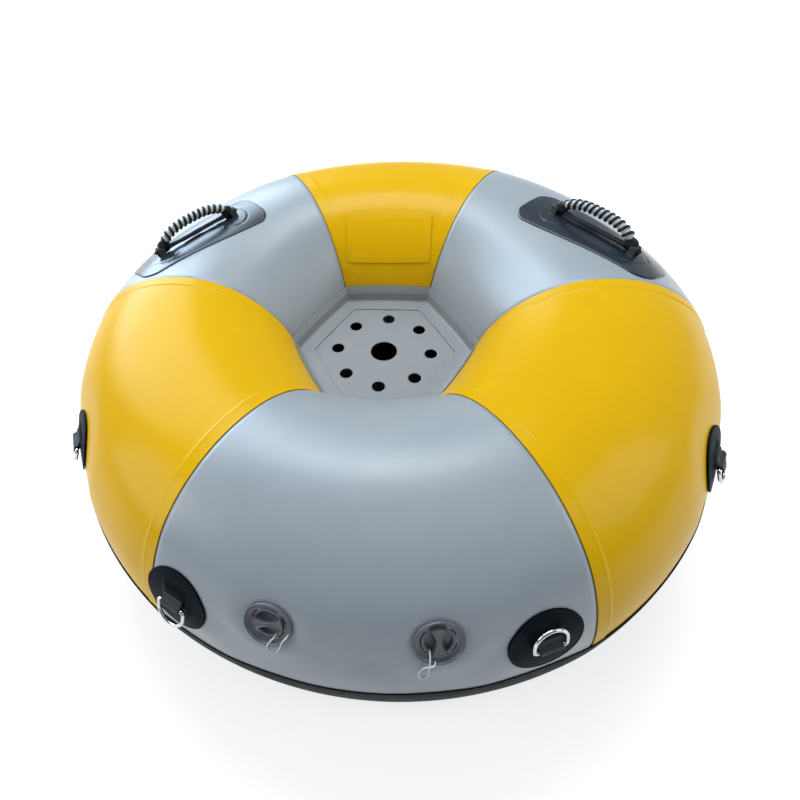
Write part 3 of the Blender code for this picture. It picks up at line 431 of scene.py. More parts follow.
def turned(name, profile, seat, finish, sides, soft=0.0, flip=False, **more):
    """A piece turned round a seat's axis from a closed profile of (radius, height) pairs in millimetres,
    with its corners softened. A profile that runs the other way round has its faces flipped."""
    profile = np.asarray(softened(profile, soft) if soft else profile, float) / 1000
    turn = np.linspace(0, 2 * np.pi, sides, endpoint=False)[:, None]
    radius, height = profile[None, :, 0], profile[None, :, 1]
    points = seat.put(radius * np.cos(turn), radius * np.sin(turn), height)
    faces = grid_faces(*points.shape[:2], ring=True, tube_like=True)
    uv = paired(turn * 0.03, travelled(profile)[None])
    mesh_piece(name, points, faces[:, ::-1] if flip else faces, finish, uv=uv, **more)


def smooth_route(points, spacing):
    """Evenly spaced points on the Catmull-Rom curve through a cord's own points."""
    fixed = np.array(points, float)
    ends = np.vstack([2 * fixed[0] - fixed[1], fixed, 2 * fixed[-1] - fixed[-2]])
    t = np.linspace(0, 1, 16, endpoint=False)[None, :, None]
    a, b, c, d = (ends[k:len(ends) - 3 + k, None] for k in range(4))
    fine = (2 * b + (c - a) * t + (2 * a - 5 * b + 4 * c - d) * t**2 + (3 * b - a - 3 * c + d) * t**3) / 2
    fine = np.vstack([fine.reshape(-1, 3), fixed[-1:]])
    way = travelled(fine)
    stops = np.linspace(0, way[-1], round(way[-1] / spacing) + 1)
    return np.stack([np.interp(stops, way, fine[:, k]) for k in range(3)], axis=-1)


# ---- finishes

class Value:
    """A number from a shader socket. Arithmetic on it adds the Math nodes that work it out."""

    def __init__(self, finish, socket):
        self.finish, self.socket = finish, socket

    def maths(self, operation, *sockets):
        return self.finish.node("Math", {"operation": operation}, dict(enumerate(sockets)))

    def __add__(self, other):
        return self.maths("ADD", self, other)

    def __rsub__(self, other):
        return self.maths("SUBTRACT", other, self)

    def __mul__(self, other):
        return self.maths("MULTIPLY", self, other)

    def sine(self):
        return self.maths("SINE", self)

    def eased(self, low, high, start=0.0, end=1.0):
        """Start below low, end above high, and a smooth step between them."""
        return self.finish.node("MapRange", {"interpolation_type": "SMOOTHSTEP"},
                                {0: self, 1: low, 2: high, 3: start, 4: end})


class Nodes:
    """A node tree that is filled in node by node."""

    def __init__(self, tree):
        self.tree = tree

    def set(self, socket, value):
        if isinstance(value, Value):
            self.tree.links.new(value.socket, socket)
        else:
            socket.default_value = (*value, 1.0) if socket.type == "RGBA" else value

    def node(self, kind, settings=None, sockets=None, out=0):
        """A node of this type: its settings first, then the values or links of its sockets."""
        made = self.tree.nodes.new("ShaderNode" + kind)
        for key, value in (settings or {}).items():
            setattr(made, key, value)
        for key, value in (sockets or {}).items():
            self.set(made.inputs[key], value)
        return None if out is None else Value(self, made.outputs[out])

    def noise(self, scale, detail=2.0, roughness=0.5):
        place = self.node("TexCoord", out="Object")
        sockets = {"Vector": place, "Scale": scale, "Detail": detail, "Roughness": roughness}
        return self.node("TexNoise", None, sockets)

    def weave(self, pitch):
        """Height of a plain weave that follows the piece's UV map: the product of two waves."""
        place = self.node("UVMap")
        across, along = (self.node("SeparateXYZ", None, {0: place}, out=k) for k in (0, 1))
        wave = 2 * math.pi / pitch
        return (across * wave).sine() * (along * wave).sine() * 0.5 + 0.5

    def mix(self, share, first, second):
        """A colour between two colours."""
        return self.node("Mix", {"data_type": "RGBA"}, {0: share, 6: first, 7: second}, out=2)


class Finish(Nodes):
    """One material with its main shader."""

    def __init__(self, name, **shader):
        self.material = bpy.data.materials.new(name)
        self.material.use_nodes = True
        super().__init__(self.material.node_tree)
        self.shader = self.tree.nodes["Principled BSDF"]
        for socket, value in shader.items():
            self.use(socket.replace("_", " ").title().replace("Ior", "IOR"), value)

    def use(self, socket, value):
        self.set(self.shader.inputs[socket], value)

    def bump(self, height, distance, strength, **more):
        return self.node("Bump", None,
                         {"Height": height, "Distance": distance, "Strength": strength, **more})


def coated_fabric(name, colour, shade, line, roughness, specular=0.5, pitch=0.0013, relief=0.0002,
                  tint=(1, 1, 1), unevenness=0.0004, coat=0.0):
    """Coated fabric: a soft film over a fine weave, uneven in tone, with a dark line along its edges that
    is partly glue and partly painted shade of the seams.
    """
    finish = Finish(name + "_fabric", specular_ior_level=specular, specular_tint=tint,
                    coat_weight=coat, coat_roughness=0.2)
    cloud = finish.noise(3.0, 3.0)
    haze = finish.noise(38.0, 4.0, 0.62)
    tone = finish.mix((cloud * 0.7 + haze * 0.3).eased(0.30, 0.72), shade, colour)
    # The edge attribute darkens the fabric along cut edges and seams: partly the glue line, partly painted
    # shade of the seam's step.
    edge = finish.node("Attribute", {"attribute_name": "edge"}, out="Fac")
    edge_glue_and_shade = edge.eased(0.0002, 0.0009, 0.75, 0.0)
    finish.use("Base Color", finish.mix(edge_glue_and_shade, tone, line))
    rough = haze.eased(0.25, 0.75, roughness - 100 * unevenness, roughness + 120 * unevenness)
    finish.use("Roughness", rough)
    fine = finish.bump(finish.weave(pitch), relief, 0.10)
    finish.use("Normal", finish.bump(haze, unevenness, 0.10, Normal=fine))
    return finish.material


def two_tone(name, specular, metallic, first, second, share, rough, relief=None):
    """A finish that mixes two colours by one pattern and whose roughness follows another. Each pattern is
    a weave's pitch, or a noise's scale and detail and the levels that it is eased between. The relief is
    a pattern's sizes, and the bump's distance and strength."""
    finish = Finish(name, specular_ior_level=specular, metallic=metallic)

    def pattern(sizes, *levels):
        made = finish.weave(*sizes) if sizes[0] < 1 else finish.noise(*sizes)
        return made.eased(*levels) if levels else made

    finish.use("Base Color", finish.mix(pattern(*share), first, second))
    finish.use("Roughness", pattern(*rough))
    if relief:
        sizes, distance, strength = relief
        finish.use("Normal", finish.bump(pattern(sizes), distance, strength))
    return finish.material


def make_finishes():
    fabrics = (
        ("yellow", (0.800, 0.470, 0.003), (0.750, 0.425, 0.002), (0.17, 0.10, 0.01), 0.38, 0.03),
        ("grey", (0.348, 0.394, 0.440), (0.320, 0.365, 0.410), (0.055, 0.060, 0.066), 0.33, 0.42),
        ("floor", (0.282, 0.298, 0.316), (0.240, 0.256, 0.275), (0.07, 0.075, 0.08), 0.52),
        ("black", (0.0040, 0.0075, 0.0130), (0.0028, 0.0052, 0.0090), (0.001, 0.002, 0.003), 0.50, 0.03),
        ("charcoal", (0.020, 0.030, 0.044), (0.016, 0.024, 0.036), (0.002, 0.003, 0.004), 0.24, 0.40))
    more = {"yellow": {"tint": (1, 0.85, 0.5), "coat": 0.18}, "floor": {"pitch": 0.0022, "relief": 0.0005},
            "charcoal": {"unevenness": 0.0001}}
    made = {row[0]: coated_fabric(*row, **more.get(row[0], {})) for row in fabrics}
    mixes = (
        ("webbing", "woven_webbing", 0.35, 0, (0.006, 0.008, 0.011), (0.022, 0.027, 0.034), ((0.0016,),),
         ((220,), 0.3, 0.7, 0.46, 0.62), ((0.0016,), 0.0003, 0.5)),
        ("chrome", "chromed_steel", 0.5, 1, (0.44, 0.46, 0.49), (0.58, 0.60, 0.63), ((160, 3.0), 0.35, 0.7),
         ((160, 3.0), 0.3, 0.75, 0.12, 0.26), ((900,), 0.00005, 0.15)),
        ("spring", "drawn_wire", 0.5, 1, (0.42, 0.43, 0.44), (0.58, 0.58, 0.59), ((300,),),
         ((500,), 0.3, 0.7, 0.25, 0.40)),
        ("plastic", "valve_plastic", 0.5, 0, (0.088, 0.100, 0.120), (0.110, 0.124, 0.145),
         ((60, 3.0), 0.3, 0.7), ((60, 3.0), 0.3, 0.7, 0.34, 0.42), ((1400,), 0.0001, 0.16)),
        # A near-black finish, used as painted shade in the tether holes.
        ("dark", "painted_hole_shade", 0.2, 0, (0.004, 0.005, 0.006), (0.010, 0.011, 0.013), ((900,),),
         ((400,), 0.3, 0.7, 0.6, 0.8)),
        ("rubber", "seal_rubber", 0.3, 0, (0.010, 0.010, 0.011), (0.020, 0.020, 0.021), ((120, 3.0),),
         ((700,), 0.3, 0.7, 0.6, 0.75), ((1800,), 0.0001, 0.2)),
        ("cord", "grip_cord", 0.3, 0, (0.002, 0.003, 0.005), (0.008, 0.011, 0.016), ((0.0018,),),
         ((300,), 0.3, 0.7, 0.15, 0.25), ((0.0018,), 0.0003, 0.35)),
        ("core", "grip_core", 0.6, 0, (0.46, 0.50, 0.54), (0.60, 0.64, 0.68), ((90, 3.0),),
         ((240,), 0.3, 0.7, 0.25, 0.38), ((0.0012,), 0.0002, 0.3)),
        ("tether", "tether_braid", 0.4, 0, (0.66, 0.68, 0.70), (0.84, 0.85, 0.86), ((0.0009,),),
         ((500,), 0.3, 0.7, 0.48, 0.62), ((1600, 3.0), 0.0003, 0.4)))
    made.update({row[0]: two_tone(*row[1:]) for row in mixes})
    return made


finishes = make_finishes()


# ---- tethers

def tethers():
    """The two white cords that hold the caps: each leaves the cap and goes back into the flange."""
    for name, (*_, route) in VALVE_PLACES.items():
        path = seats[name].put(*smooth_route(np.array(route) / 1000, TETHER_SPACING).T)
        curve = bpy.data.curves.new(name + "_tether_cord", "CURVE")
        curve.dimensions = "3D"
        curve.bevel_depth, curve.bevel_resolution, curve.use_fill_caps = TETHER_RADIUS, 4, True
        spline = curve.splines.new("POLY")
        spline.points.add(len(path) - 1)
        spline.points.foreach_set("co", np.c_[path, np.ones(len(path))].ravel())
        curve.materials.append(finishes["tether"])
        cord = placed(name + "_tether_cord", curve)
        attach(cord, "tube")
        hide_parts(name + "_tether")


# ---- fabric of the tube

def fabric_uv(theta, phi):
    return paired(np.radians(theta) * RING_MEAN_RADIUS, np.radians(phi) * TUBE_MEAN_RADIUS)


def cut_round(points, seat, radius):
    """Moves a sheet's points near a circle round this seat onto it, and says which are on it or inside."""
    x, y, height = seat.local(points)
    away = np.where(np.abs(height) < 0.05, np.hypot(x, y), 1.0)
    near = np.abs(away - radius) < 0.0030
    shift = np.where(near, radius / np.maximum(away, 1e-9) - 1, 0)
    points = points + (shift * x)[..., None] * seat.x + (shift * y)[..., None] * seat.y
    return points, near | (away < radius)


def panel(name, start, grey):
    """One panel, 60 degrees round from its start. A grey one dips under its neighbours' edges. A yellow
    one lies over them, and steps down by most of a fabric where the grey edge under it ends, more softly
    on the back panel. Both pucker a little along the seams."""
    phi = np.concatenate([[PANEL_BOTTOM, PANEL_BOTTOM + 0.3],
                          np.linspace(PANEL_BOTTOM + 0.8, PANEL_TOP - 0.8, PANEL_ROWS),
                          [PANEL_TOP - 0.3, PANEL_TOP]])[None, :]
    zone = np.array(GREY_ZONE if grey else YELLOW_ZONE) / 1000
    seam = smooth_tube(np.zeros_like(phi), phi)
    width = np.degrees(1 / np.hypot(seam[..., 0], seam[..., 1]))
    middle = np.linspace(0, 1, PANEL_COLUMNS + 2)[1:-1, None]
    low, high = start + zone[-1] * width, start + 60 - zone[-1] * width
    theta = np.concatenate([start + zone[:, None] * width, low + (high - low) * middle,
                            start + 60 - zone[::-1, None] * width])
    distance = np.concatenate([zone, np.full(len(middle), 0.5), zone[::-1]])[:, None] + 0 * phi
    if grey:
        height = -SKIN_HEIGHT * (1 - eased(distance, 0.0004, 0.0062))
        # On a grey panel the dark edge line falls at the seam under the yellow edge: partly painted shade
        # of the step.
        edge, puckered = np.abs(distance - 0.0004) * 0.8, distance > 0.0065
    else:
        relief = 0.4 if name == "panel_back" else 1.0
        height = -LAP_STEP * eased(distance, LAP_LINE, LAP_LINE + LAP_SLOPE / relief)
        height = height + LAP_RIDGE * relief * bell(distance, LAP_LINE, 0.0014)
        height = height + rounded_off(distance)
        edge, puckered = np.maximum(distance, 0), distance > 0.001
    edge = np.where(np.abs(distance) < 0.4, edge, 1.0)
    ripple = 0.00012 + 0.00050 * eased(phi, 118, 146) * (1 - eased(phi, 150, 157))
    wave = np.sin(phi * 4.1 + start) * 0.6 + np.sin(phi * 2.3 + 2 * start + 1.0) * 0.4
    height = height + ripple * wave * np.exp(-np.abs(distance) / 0.016) * puckered
    points, normals = on_tube(theta, phi + 0 * theta, height)
    gone = np.zeros(points.shape[:2], bool)
    if name == "panel_front":
        for valve in VALVE_PLACES:
            points, inside = cut_round(points, seats[valve], VALVE_HOLE)
            gone |= inside
    shell(name + "_fabric", points, normals, FABRIC, "grey" if grey else "yellow",
          uv=fabric_uv(theta, phi), edge=edge, gone=gone, node=name)


def ring_sheet(name, node, rows, height, edge, finish):
    """A sheet that runs all the way round the ring."""
    theta = np.linspace(0, 360, 288, endpoint=False)[:, None]
    points, normals = on_tube(theta, rows[None], height + 0 * theta)
    shell(name, points, normals, FABRIC, finish, ring=True, uv=fabric_uv(theta, rows[None]),
          edge=edge + 0 * theta, node=node)


def lower_skin_and_band():
    per_metre = np.degrees(1 / TUBE_MEAN_RADIUS)
    top = 360 + BLACK_EDGE - per_metre * np.array(WIDE_EDGE_STEPS)
    rows = np.concatenate([BLACK_INNER_EDGE + per_metre * np.array([0, 0.0004, 0.0010]),
                           np.linspace(BLACK_INNER_EDGE + 1, top[-1] - 0.4, 84), top[::-1]])
    edge = np.minimum(rows - BLACK_INNER_EDGE, 360 + BLACK_EDGE - rows) / per_metre
    ring_sheet("lower_skin_fabric", "bottom_skin", rows, SKIN_HEIGHT + rounded_off(edge), edge, "black")
    rows = np.concatenate([BAND_TOP + per_metre * np.array(WIDE_EDGE_STEPS),
                           np.linspace(BAND_TOP + 1, 164.5, 14), np.linspace(165, BAND_BOTTOM, 18)])
    edge = (rows - BAND_TOP) / per_metre
    height = SKIN_HEIGHT * (1 - eased(rows, 161.4, 163.2)) + rounded_off(edge)
    ring_sheet("seat_band_fabric", "seat_band", rows, height, edge, "grey")


def back_patch():
    """The yellow rectangle on the back panel's seat side, with a pressed line inside its edge."""
    seat = Seat(90.0, 133.5, tube(90.0, 133.5), x_axis=(-1, 0, 0))
    half_x, half_y, corner = 0.089, 0.050, 0.005
    x, y = np.meshgrid(lines(half_x, 90), lines(half_y, 56), indexing="ij")
    distance = np.minimum(half_x - np.abs(x), half_y - np.abs(y))
    inner = np.maximum(np.abs(x) - (half_x - 0.016), np.abs(y) - (half_y - 0.011))
    height = SKIN_HEIGHT + rounded_off(distance) + 0.0005 * bell(inner, 0, 0.0011)
    x = x * (half_x + round_ends(y, 0, half_y, corner)) / half_x
    patch("back_patch_fabric", "back_patch", seat, x, y, height, FABRIC, "yellow", distance + 0.0004)


# ---- seat floor

def wall_angle(level):
    """Phi of the seat wall at this level over the ground."""
    return 180 - np.degrees(np.arcsin((level - CENTRE_HEIGHT) / TUBE_HALF_HEIGHT))


def seat_floor():
    """The floor sheet: a square grid whose faces over a hole are left out and whose points next to a
    hole or past the wall are moved onto that edge, raised by small folds near the wall."""
    count = 2 * round(FLOOR_HALF / FLOOR_GRID) + 1
    row = np.linspace(-FLOOR_HALF, FLOOR_HALF, count)
    x, y = np.meshgrid(row, row, indexing="ij")
    turn = np.degrees(np.arctan2(y, x))
    wall = on_tube(turn, wall_angle(FLOOR_TOP), 0.0009)[0]
    reach = np.hypot(wall[..., 0], wall[..., 1])
    away = np.hypot(x, y)
    past = away > reach
    scale = np.where(past, reach / np.maximum(away, 1e-9), 1)
    x, y = x * scale, y * scale
    turns = np.radians(DRAIN_TURN - 45 * np.arange(8))
    holes = [(0.0, 0.0, CENTRE_HOLE)]
    holes += [(DRAIN_CIRCLE * math.cos(a), DRAIN_CIRCLE * math.sin(a), DRAIN_HOLE) for a in turns]
    edge = np.maximum(reach - away, 0)
    gone = np.zeros(x.shape, bool)
    for centre_x, centre_y, radius in holes:
        dx, dy = x - centre_x, y - centre_y
        from_centre = np.hypot(dx, dy)
        near = np.abs(from_centre - radius) < FLOOR_GRID * 0.74
        gone |= (from_centre < radius) & ~near
        grow = np.where(near, radius / np.maximum(from_centre, 1e-9), 1)
        x, y = centre_x + dx * grow, centre_y + dy * grow
        # The edge value darkens the floor along the wall and round each hole: partly its cut edge, partly
        # painted shade in the corner and at the rim.
        rim = np.where(from_centre < radius + 0.02, np.maximum(from_centre - radius, 0), 1)
        edge = np.minimum(edge, rim)
    at_wall = 1 - eased(reach - away, 0.006, 0.060)
    fold = 0.0007 * at_wall * np.sin(np.radians(turn * 11)) * np.sin(away * 210)
    fold = fold - 0.0012 * (1 - eased(away, 0.0, 0.12))
    points = np.stack([x, y, FLOOR_TOP + fold], axis=-1).reshape(-1, 3)
    faces = grid_faces(count, count)
    inside = ~(gone.ravel()[faces].any(axis=1) | past.ravel()[faces].all(axis=1))
    middle = points[faces].mean(axis=1)
    for centre_x, centre_y, radius in holes:
        inside &= np.hypot(middle[:, 0] - centre_x, middle[:, 1] - centre_y) > radius * 1.0001
    faces = faces[inside]
    spread = points[faces]
    cross = np.cross(spread[:, 2] - spread[:, 0], spread[:, 3] - spread[:, 1])
    area = 0.5 * np.linalg.norm(cross, axis=1)
    real = area > 1e-8
    used, index = np.unique(faces[real], return_inverse=True)
    floor = mesh_piece("floor_sheet_fabric", points[used], index.reshape(-1, 4), "floor",
                       node="floor_sheet", uv=points[used][:, :2], edge=edge.ravel()[used] + 0.0002)
    wall = floor.modifiers.new("wall", "SOLIDIFY")
    wall.thickness, wall.offset = FLOOR_THICKNESS, -1


def floor_tape(k):
    """An angled tape: down the wall, round a small corner and in over the floor, mitred at both ends."""
    top = FLOOR_TOP + SKIN_HEIGHT
    theta = 60.0 * k + np.concatenate([[0.15, 0.35, 0.8], np.linspace(1.5, 58.5, 90), [59.2, 59.65, 59.85]])
    levels = top + np.array([0.0140, 0.0137, 0.0130, 0.0115, 0.0095, 0.0075, 0.0055])
    wall = on_tube(theta[:, None], wall_angle(levels)[None], SKIN_HEIGHT + 0.0002)[0]
    corner = on_tube(theta, wall_angle(top), SKIN_HEIGHT + 0.0002)[0]
    inward = np.array([0.0045, 0.0080, 0.0120, 0.0160, 0.0200, 0.0235, 0.0262, 0.0274, 0.0280])
    apothem = np.hypot(*corner[len(theta) // 2, :2])
    floor = corner[:, None] * np.stack([1 - inward / apothem] * 2 + [np.ones_like(inward)], axis=-1)
    curve = bent(wall[:, -1:], corner[:, None], floor[:, :1], np.linspace(0, 1, 7)[None, 1:-1, None])
    points = np.concatenate([wall, curve, floor], axis=1)
    across = travelled(points[50])
    along = np.radians(theta)[:, None] * 0.17
    limp = {0: 1.0, 5: 0.8, 1: 0.4}.get(k, 0.15)
    crease = np.sin(along * 260 + across[None] * 130 + k)
    crease = crease + 0.6 * np.sin(along * 430 - across[None] * 90 + 2 * k)
    on_floor = eased(across, 0.016, 0.026) * (1 - 0.6 * eased(across, 0.040, 0.045))
    points[..., 2] += 0.0006 * limp * on_floor * (0.4 + 0.4 * crease)
    points[..., 2] += 0.0007 * bell(across, 0.0165, 0.0035)
    normals = unit(np.cross(np.gradient(points, axis=0), np.gradient(points, axis=1)))
    distance = np.minimum(across, across[-1] - across)[None] + 0 * along
    points = points + normals * rounded_off(distance)[..., None]
    tape = f"floor_tape_{k + 1}"
    shell(tape + "_strip", points, normals, FABRIC * 0.9, "floor", uv=paired(along, across[None]),
          edge=distance, node=tape)


# ---- D-ring sets

def disc(radius, count=64):
    """A square grid bent into a disc: each side of the square becomes a quarter of the circle."""
    row = lines(1.0, count, (0, 0.006, 0.018, 0.04))
    s, t = np.meshgrid(row, row, indexing="ij")
    return radius * s * np.sqrt(1 - t**2 / 2), radius * t * np.sqrt(1 - s**2 / 2)


def black_patch(name, node, seat, x, y, distance, extra):
    """A thick black patch, raised by the strap's tail under it, with a sharp edge at the slit."""
    tail = (1 - eased(np.abs(x), 0.0135, 0.0215)) * eased(y, SLIT, 0.0080) * (1 - eased(y, 0.0185, 0.0290))
    height = GAP + PATCH_THICKNESS + rounded_off(distance, PATCH_THICKNESS) + STRAP_THICKNESS * tail
    height = height + extra
    patch(name, node, seat, x, y, height, height - GAP * 0.5, "black", distance)


def d_patch(name, seat):
    x, y = disc(PATCH_RADIUS)
    away = np.hypot(x, y)
    groove = -GROOVE_DEPTH * bell(away, GROOVE_RADIUS, GROOVE_WIDTH)
    groove = groove + 0.0002 * eased(away, GROOVE_RADIUS, 0.0475)
    black_patch(name + "_d_patch_disc", name + "_d_patch", seat, x, y, PATCH_RADIUS - away, groove)


def tow_patch(seat):
    """The tapered patch at the back: its half width runs straight from bottom to top. Round corners."""
    top, bottom, above, below, corner = 0.0525, 0.095, 0.062, 0.086, 0.016
    steps = np.array(EDGE_STEPS)
    rows = np.concatenate([-below + steps, np.linspace(-below + 0.004, above - 0.004, 70),
                           above - steps[::-1]])
    s = lines(1.0, 80, (0, 0.004, 0.012, 0.03))[:, None]
    half = bottom + (top - bottom) * (rows + below) / (above + below)
    half = half + round_ends(rows, (above - below) / 2, (above + below) / 2, corner)
    x, y = s * half[None], rows[None] + 0 * s
    distance = np.minimum(half[None] * (1 - np.abs(s)), np.minimum(above - rows, rows + below)[None])
    black_patch("tow_patch_sheet", "tow_patch", seat, x, y, distance,
                -GROOVE_DEPTH * bell(distance, GROOVE_INSET, GROOVE_WIDTH))


def d_strap(name, seat):
    """The strap: its closed side outline, a loop round the bar with two layers that run into the slit,
    carried across its width and drawn in a little at both edges."""
    outer = WIRE + 0.0020
    turn = np.radians(np.linspace(62, 298, 25))
    loop = outer * paired(np.cos(turn - np.pi), np.sin(turn))
    low = 0.0024 - BAR_HEIGHT + 0.0003
    tail = np.array([[0.0026, -outer], [SLIT, low], [0.0150, low], [0.0150, low + STRAP_THICKNESS],
                     [0.0078, low + 0.0032], [0.0030, outer * 0.92]])
    outline = softened(np.vstack([loop, tail]), 0.0008)
    width = lines(STRAP_HALF_WIDTH, 26, (0, 0.0003, 0.0008, 0.0018))[:, None]
    drawn = 1 - 0.10 * np.clip(1 - (STRAP_HALF_WIDTH - np.abs(width)) / 0.0016, 0, 1) ** 2
    points = seat.put(width, outline[None, :, 0], outline[None, :, 1] * drawn, pivot=True)
    columns, rows = points.shape[:2]
    faces = grid_faces(columns, rows, tube_like=True)[:, ::-1]
    mesh_piece(name + "_d_strap_loop", points, faces, "webbing", node=name + "_d_strap", sharp=60,
               uv=paired(width, travelled(outline)[None]), caps=end_caps(columns * rows, rows))


def d_ring(name, seat, rests):
    """The wire ring: a straight bar, tight corners, short legs and half an ellipse, in the ring's own
    plane, which leans a little off the patch."""
    inset = D_HALF_WIDTH - D_CORNER
    quarter = np.radians(np.linspace(-90, 0, 9))
    corner = paired(inset + D_CORNER * np.cos(quarter), D_CORNER + D_CORNER * np.sin(quarter))
    bow = np.linspace(0, np.pi, 64)
    arch = paired(D_HALF_WIDTH * np.cos(bow), D_LEG + (D_HEIGHT - D_LEG) * np.sin(bow))
    bar = paired(np.linspace(-inset, inset, 14)[1:-1], np.zeros(12))
    outline = np.vstack([corner, arch, corner[::-1] * (-1, 1), bar])
    out = rests * outline[:, 1]
    path = seat.put(outline[:, 0], out * math.cos(D_LEAN), outline[:, 1] * math.sin(D_LEAN), pivot=True)
    side = seat.z * math.cos(D_LEAN) - rests * seat.y * math.sin(D_LEAN)
    sweep(name + "_d_ring_wire", path, side, WIRE, WIRE, "chrome", closed=True, body=name + "_ring",
          node=name + "_d_ring")


def d_set(name, rests):
    seat = seats[name]
    if name == "tow":
        tow_patch(seat)
    else:
        d_patch(name, seat)
    d_strap(name, seat)
    d_ring(name, seat, rests)


# ---- valves, in millimetres

def bow_tie_distance(x, y):
    """Distance inside the grip's outline: wide ends on a circle and a narrow waist."""
    half = 3.3 + 6.2 * np.clip(np.abs(x) / 18.5, 0, 1.2) ** 1.7
    return np.minimum((half - np.abs(y)) * 0.86, 20.4 - np.hypot(x, y))


def valve_cap(name, seat, grip_turn):
    """The cap's top as one height over a disc: a dished recess with short ribs, an edge, and the grip
    with its raised outline. A smooth step at the outline gives the grip its walls."""
    x, y = disc(CAP_RADIUS, 130)
    away = np.hypot(x, y)
    turn = math.radians(90 - grip_turn)
    across, along = x * math.cos(turn) + y * math.sin(turn), -x * math.sin(turn) + y * math.cos(turn)
    dish = -5.4 + 0.8 * eased(away, 6.0, 15.8) + 4.7 * eased(away, 16.2, 17.2)
    dish = dish - 0.8 * eased(away, 20.4, CAP_RADIUS) ** 2
    inside = bow_tie_distance(across, along)
    near = (1 - eased(-inside, 0.6, 4.6)) * eased(17 - away, 1.0, 4.0)
    dish = dish + 0.7 * near * (0.5 + 0.5 * np.cos(across * 2 * np.pi / 2.7))
    crest = 2.5 + 1.2 * bell(inside, 1.0, 0.75) + 0.4 * eased(np.abs(across), 6, 19)
    height = (dish + (crest - dish) * eased(inside, -0.45, 0.55)) / 1000
    x, y = x / 1000, y / 1000
    body = name + "_cap"
    shell(body + "_top", seat.put(x, y, height), seat.z, height + CAP_DEPTH, "plastic", uv=paired(x, y),
          body=body, sharp=70, node=body)
    skirt = [(18.6, -6.4), (15.3, -6.4), (15.3, -15.4), (17.8, -15.4)]
    turned(body + "_skirt", skirt, seat, "plastic", 96, 0.3, body=body)


def valve_flange(name, seat):
    """The flange, neck and bore in one turned profile, with its round lip and its dished face, then the web
    across the bore and the little rimmed holes that the tether goes into, each closed by a dark disc of
    painted shade."""
    profile = [(22.0, -8.6), (22.0, -2.0), (22.1, -0.4), (22.6, 0.1), (23.6, 0.2), (24.9, 0.3), (26.4, 0.7),
               (27.9, 1.6), (28.9, 2.9), (29.4, 4.1), (30.0, 4.8), (30.7, 4.7), (31.2, 3.9), (31.5, 2.4),
               (31.5, 0.0), (24.0, -0.1), (24.0, -30.6), (23.6, -31.0), (18.4, -31.0), (18.3, -8.6)]
    face_radius, face_height = zip(*profile[5:9])
    turned(name + "_body_flange", profile, seat, "plastic", 120, 0.5, flip=True, node=name + "_body")
    web = [(18.6, -28.1), (18.6, -30.9), (2.9, -30.9), (2.9, -28.1)]
    turned(name + "_body_web", web, seat, "plastic", 72, 0.3)
    for k, (x, y) in enumerate(TETHER_EYES[name]):
        level = np.interp(math.hypot(x, y), face_radius, face_height)
        place = seat.put(x / 1000, y / 1000, level / 1000)
        eye = Seat(seat.theta, seat.phi, place, z_axis=seat.z)
        rim = [(0.9, 0.15), (1.1, 0.28), (1.5, 0.30), (1.9, 0.10), (1.9, -1.2), (0.9, -1.2)]
        turned(f"{name}_eye_{k + 1}", rim, eye, "plastic", 28, flip=True)
        # A dark disc just under each rim is painted shade that stands in for the hole's depth.
        top = eye.put(*disc(0.00105, 6), 0.0001)
        shell(f"{name}_eye_{k + 1}_bore_shade", top, seat.z, 0.0012, "dark")


# ---- handles

def handle_pad(name, seat):
    """The pad: a long rounded rectangle bent over the tube, with a pressed arc round each end's eye."""
    half_x, half_y = PAD_LENGTH / 2, PAD_WIDTH / 2
    s, rows = lines(1.0, 130, (0, 0.002, 0.006, 0.012))[:, None], lines(half_y, 56)
    half = half_x + round_ends(rows, 0, half_y, PAD_CORNER)
    x, y = s * half[None], rows[None] + 0 * s
    corner_x, corner_y = np.abs(x) - (half_x - PAD_CORNER), np.abs(y) - (half_y - PAD_CORNER)
    distance = PAD_CORNER - np.hypot(np.maximum(corner_x, 0), np.maximum(corner_y, 0))
    distance = distance - np.minimum(np.maximum(corner_x, corner_y), 0)
    end = np.hypot(np.abs(x) - EYE_SPACING / 2 + 0.006, y * 1.05)
    arc = bell(end, ARC_RADIUS, 0.0008) * eased(np.abs(x), 0.072, 0.080)
    height = GAP + PATCH_THICKNESS + rounded_off(distance, PATCH_THICKNESS) - ARC_DEPTH * arc
    height = height + 0.0005 * (1 - eased(end, 0.031, ARC_RADIUS))
    height = height + 0.0001 * np.sin(x * 70) * np.sin(y * 90 + 1)
    patch(name + "_pad_sheet", name + "_pad", seat, x, y, height, height - GAP * 0.5, "charcoal",
          np.maximum(distance, 0))


def handle_eyes(name, seat):
    """The two loops of webbing that hold the handle: a flat band from the pad over the roll and down."""
    for k, side in enumerate((-1, 1)):
        x = side * EYE_SPACING / 2
        turn = np.linspace(0, np.pi, 17)
        over = EYE_RADIUS * paired(np.cos(turn), np.sin(turn))
        feet = on_seat(seat, np.array([x, x]), np.array([EYE_FOOT, -EYE_FOOT]), GAP + PATCH_THICKNESS)[0]
        foot = feet - seat.pivot
        right, left = paired(foot @ seat.y, foot @ seat.z)
        start = np.array([right + (0, -0.0005), right + (-0.0015, 0.0012)])
        end = np.array([left + (0.0015, 0.0012), left + (0, -0.0005)])
        route = np.vstack([start, over, end])
        line = smooth_route(np.c_[np.zeros(len(route)), route], 0.0012)
        path = seat.put(x, line[:, 1], line[:, 2], pivot=True)
        sweep(f"{name}_eye_{k + 1}", path, seat.x, EYE_HALF_WIDTH, 0.0012, "webbing", sides=24, power=0.6,
              sharp=70)


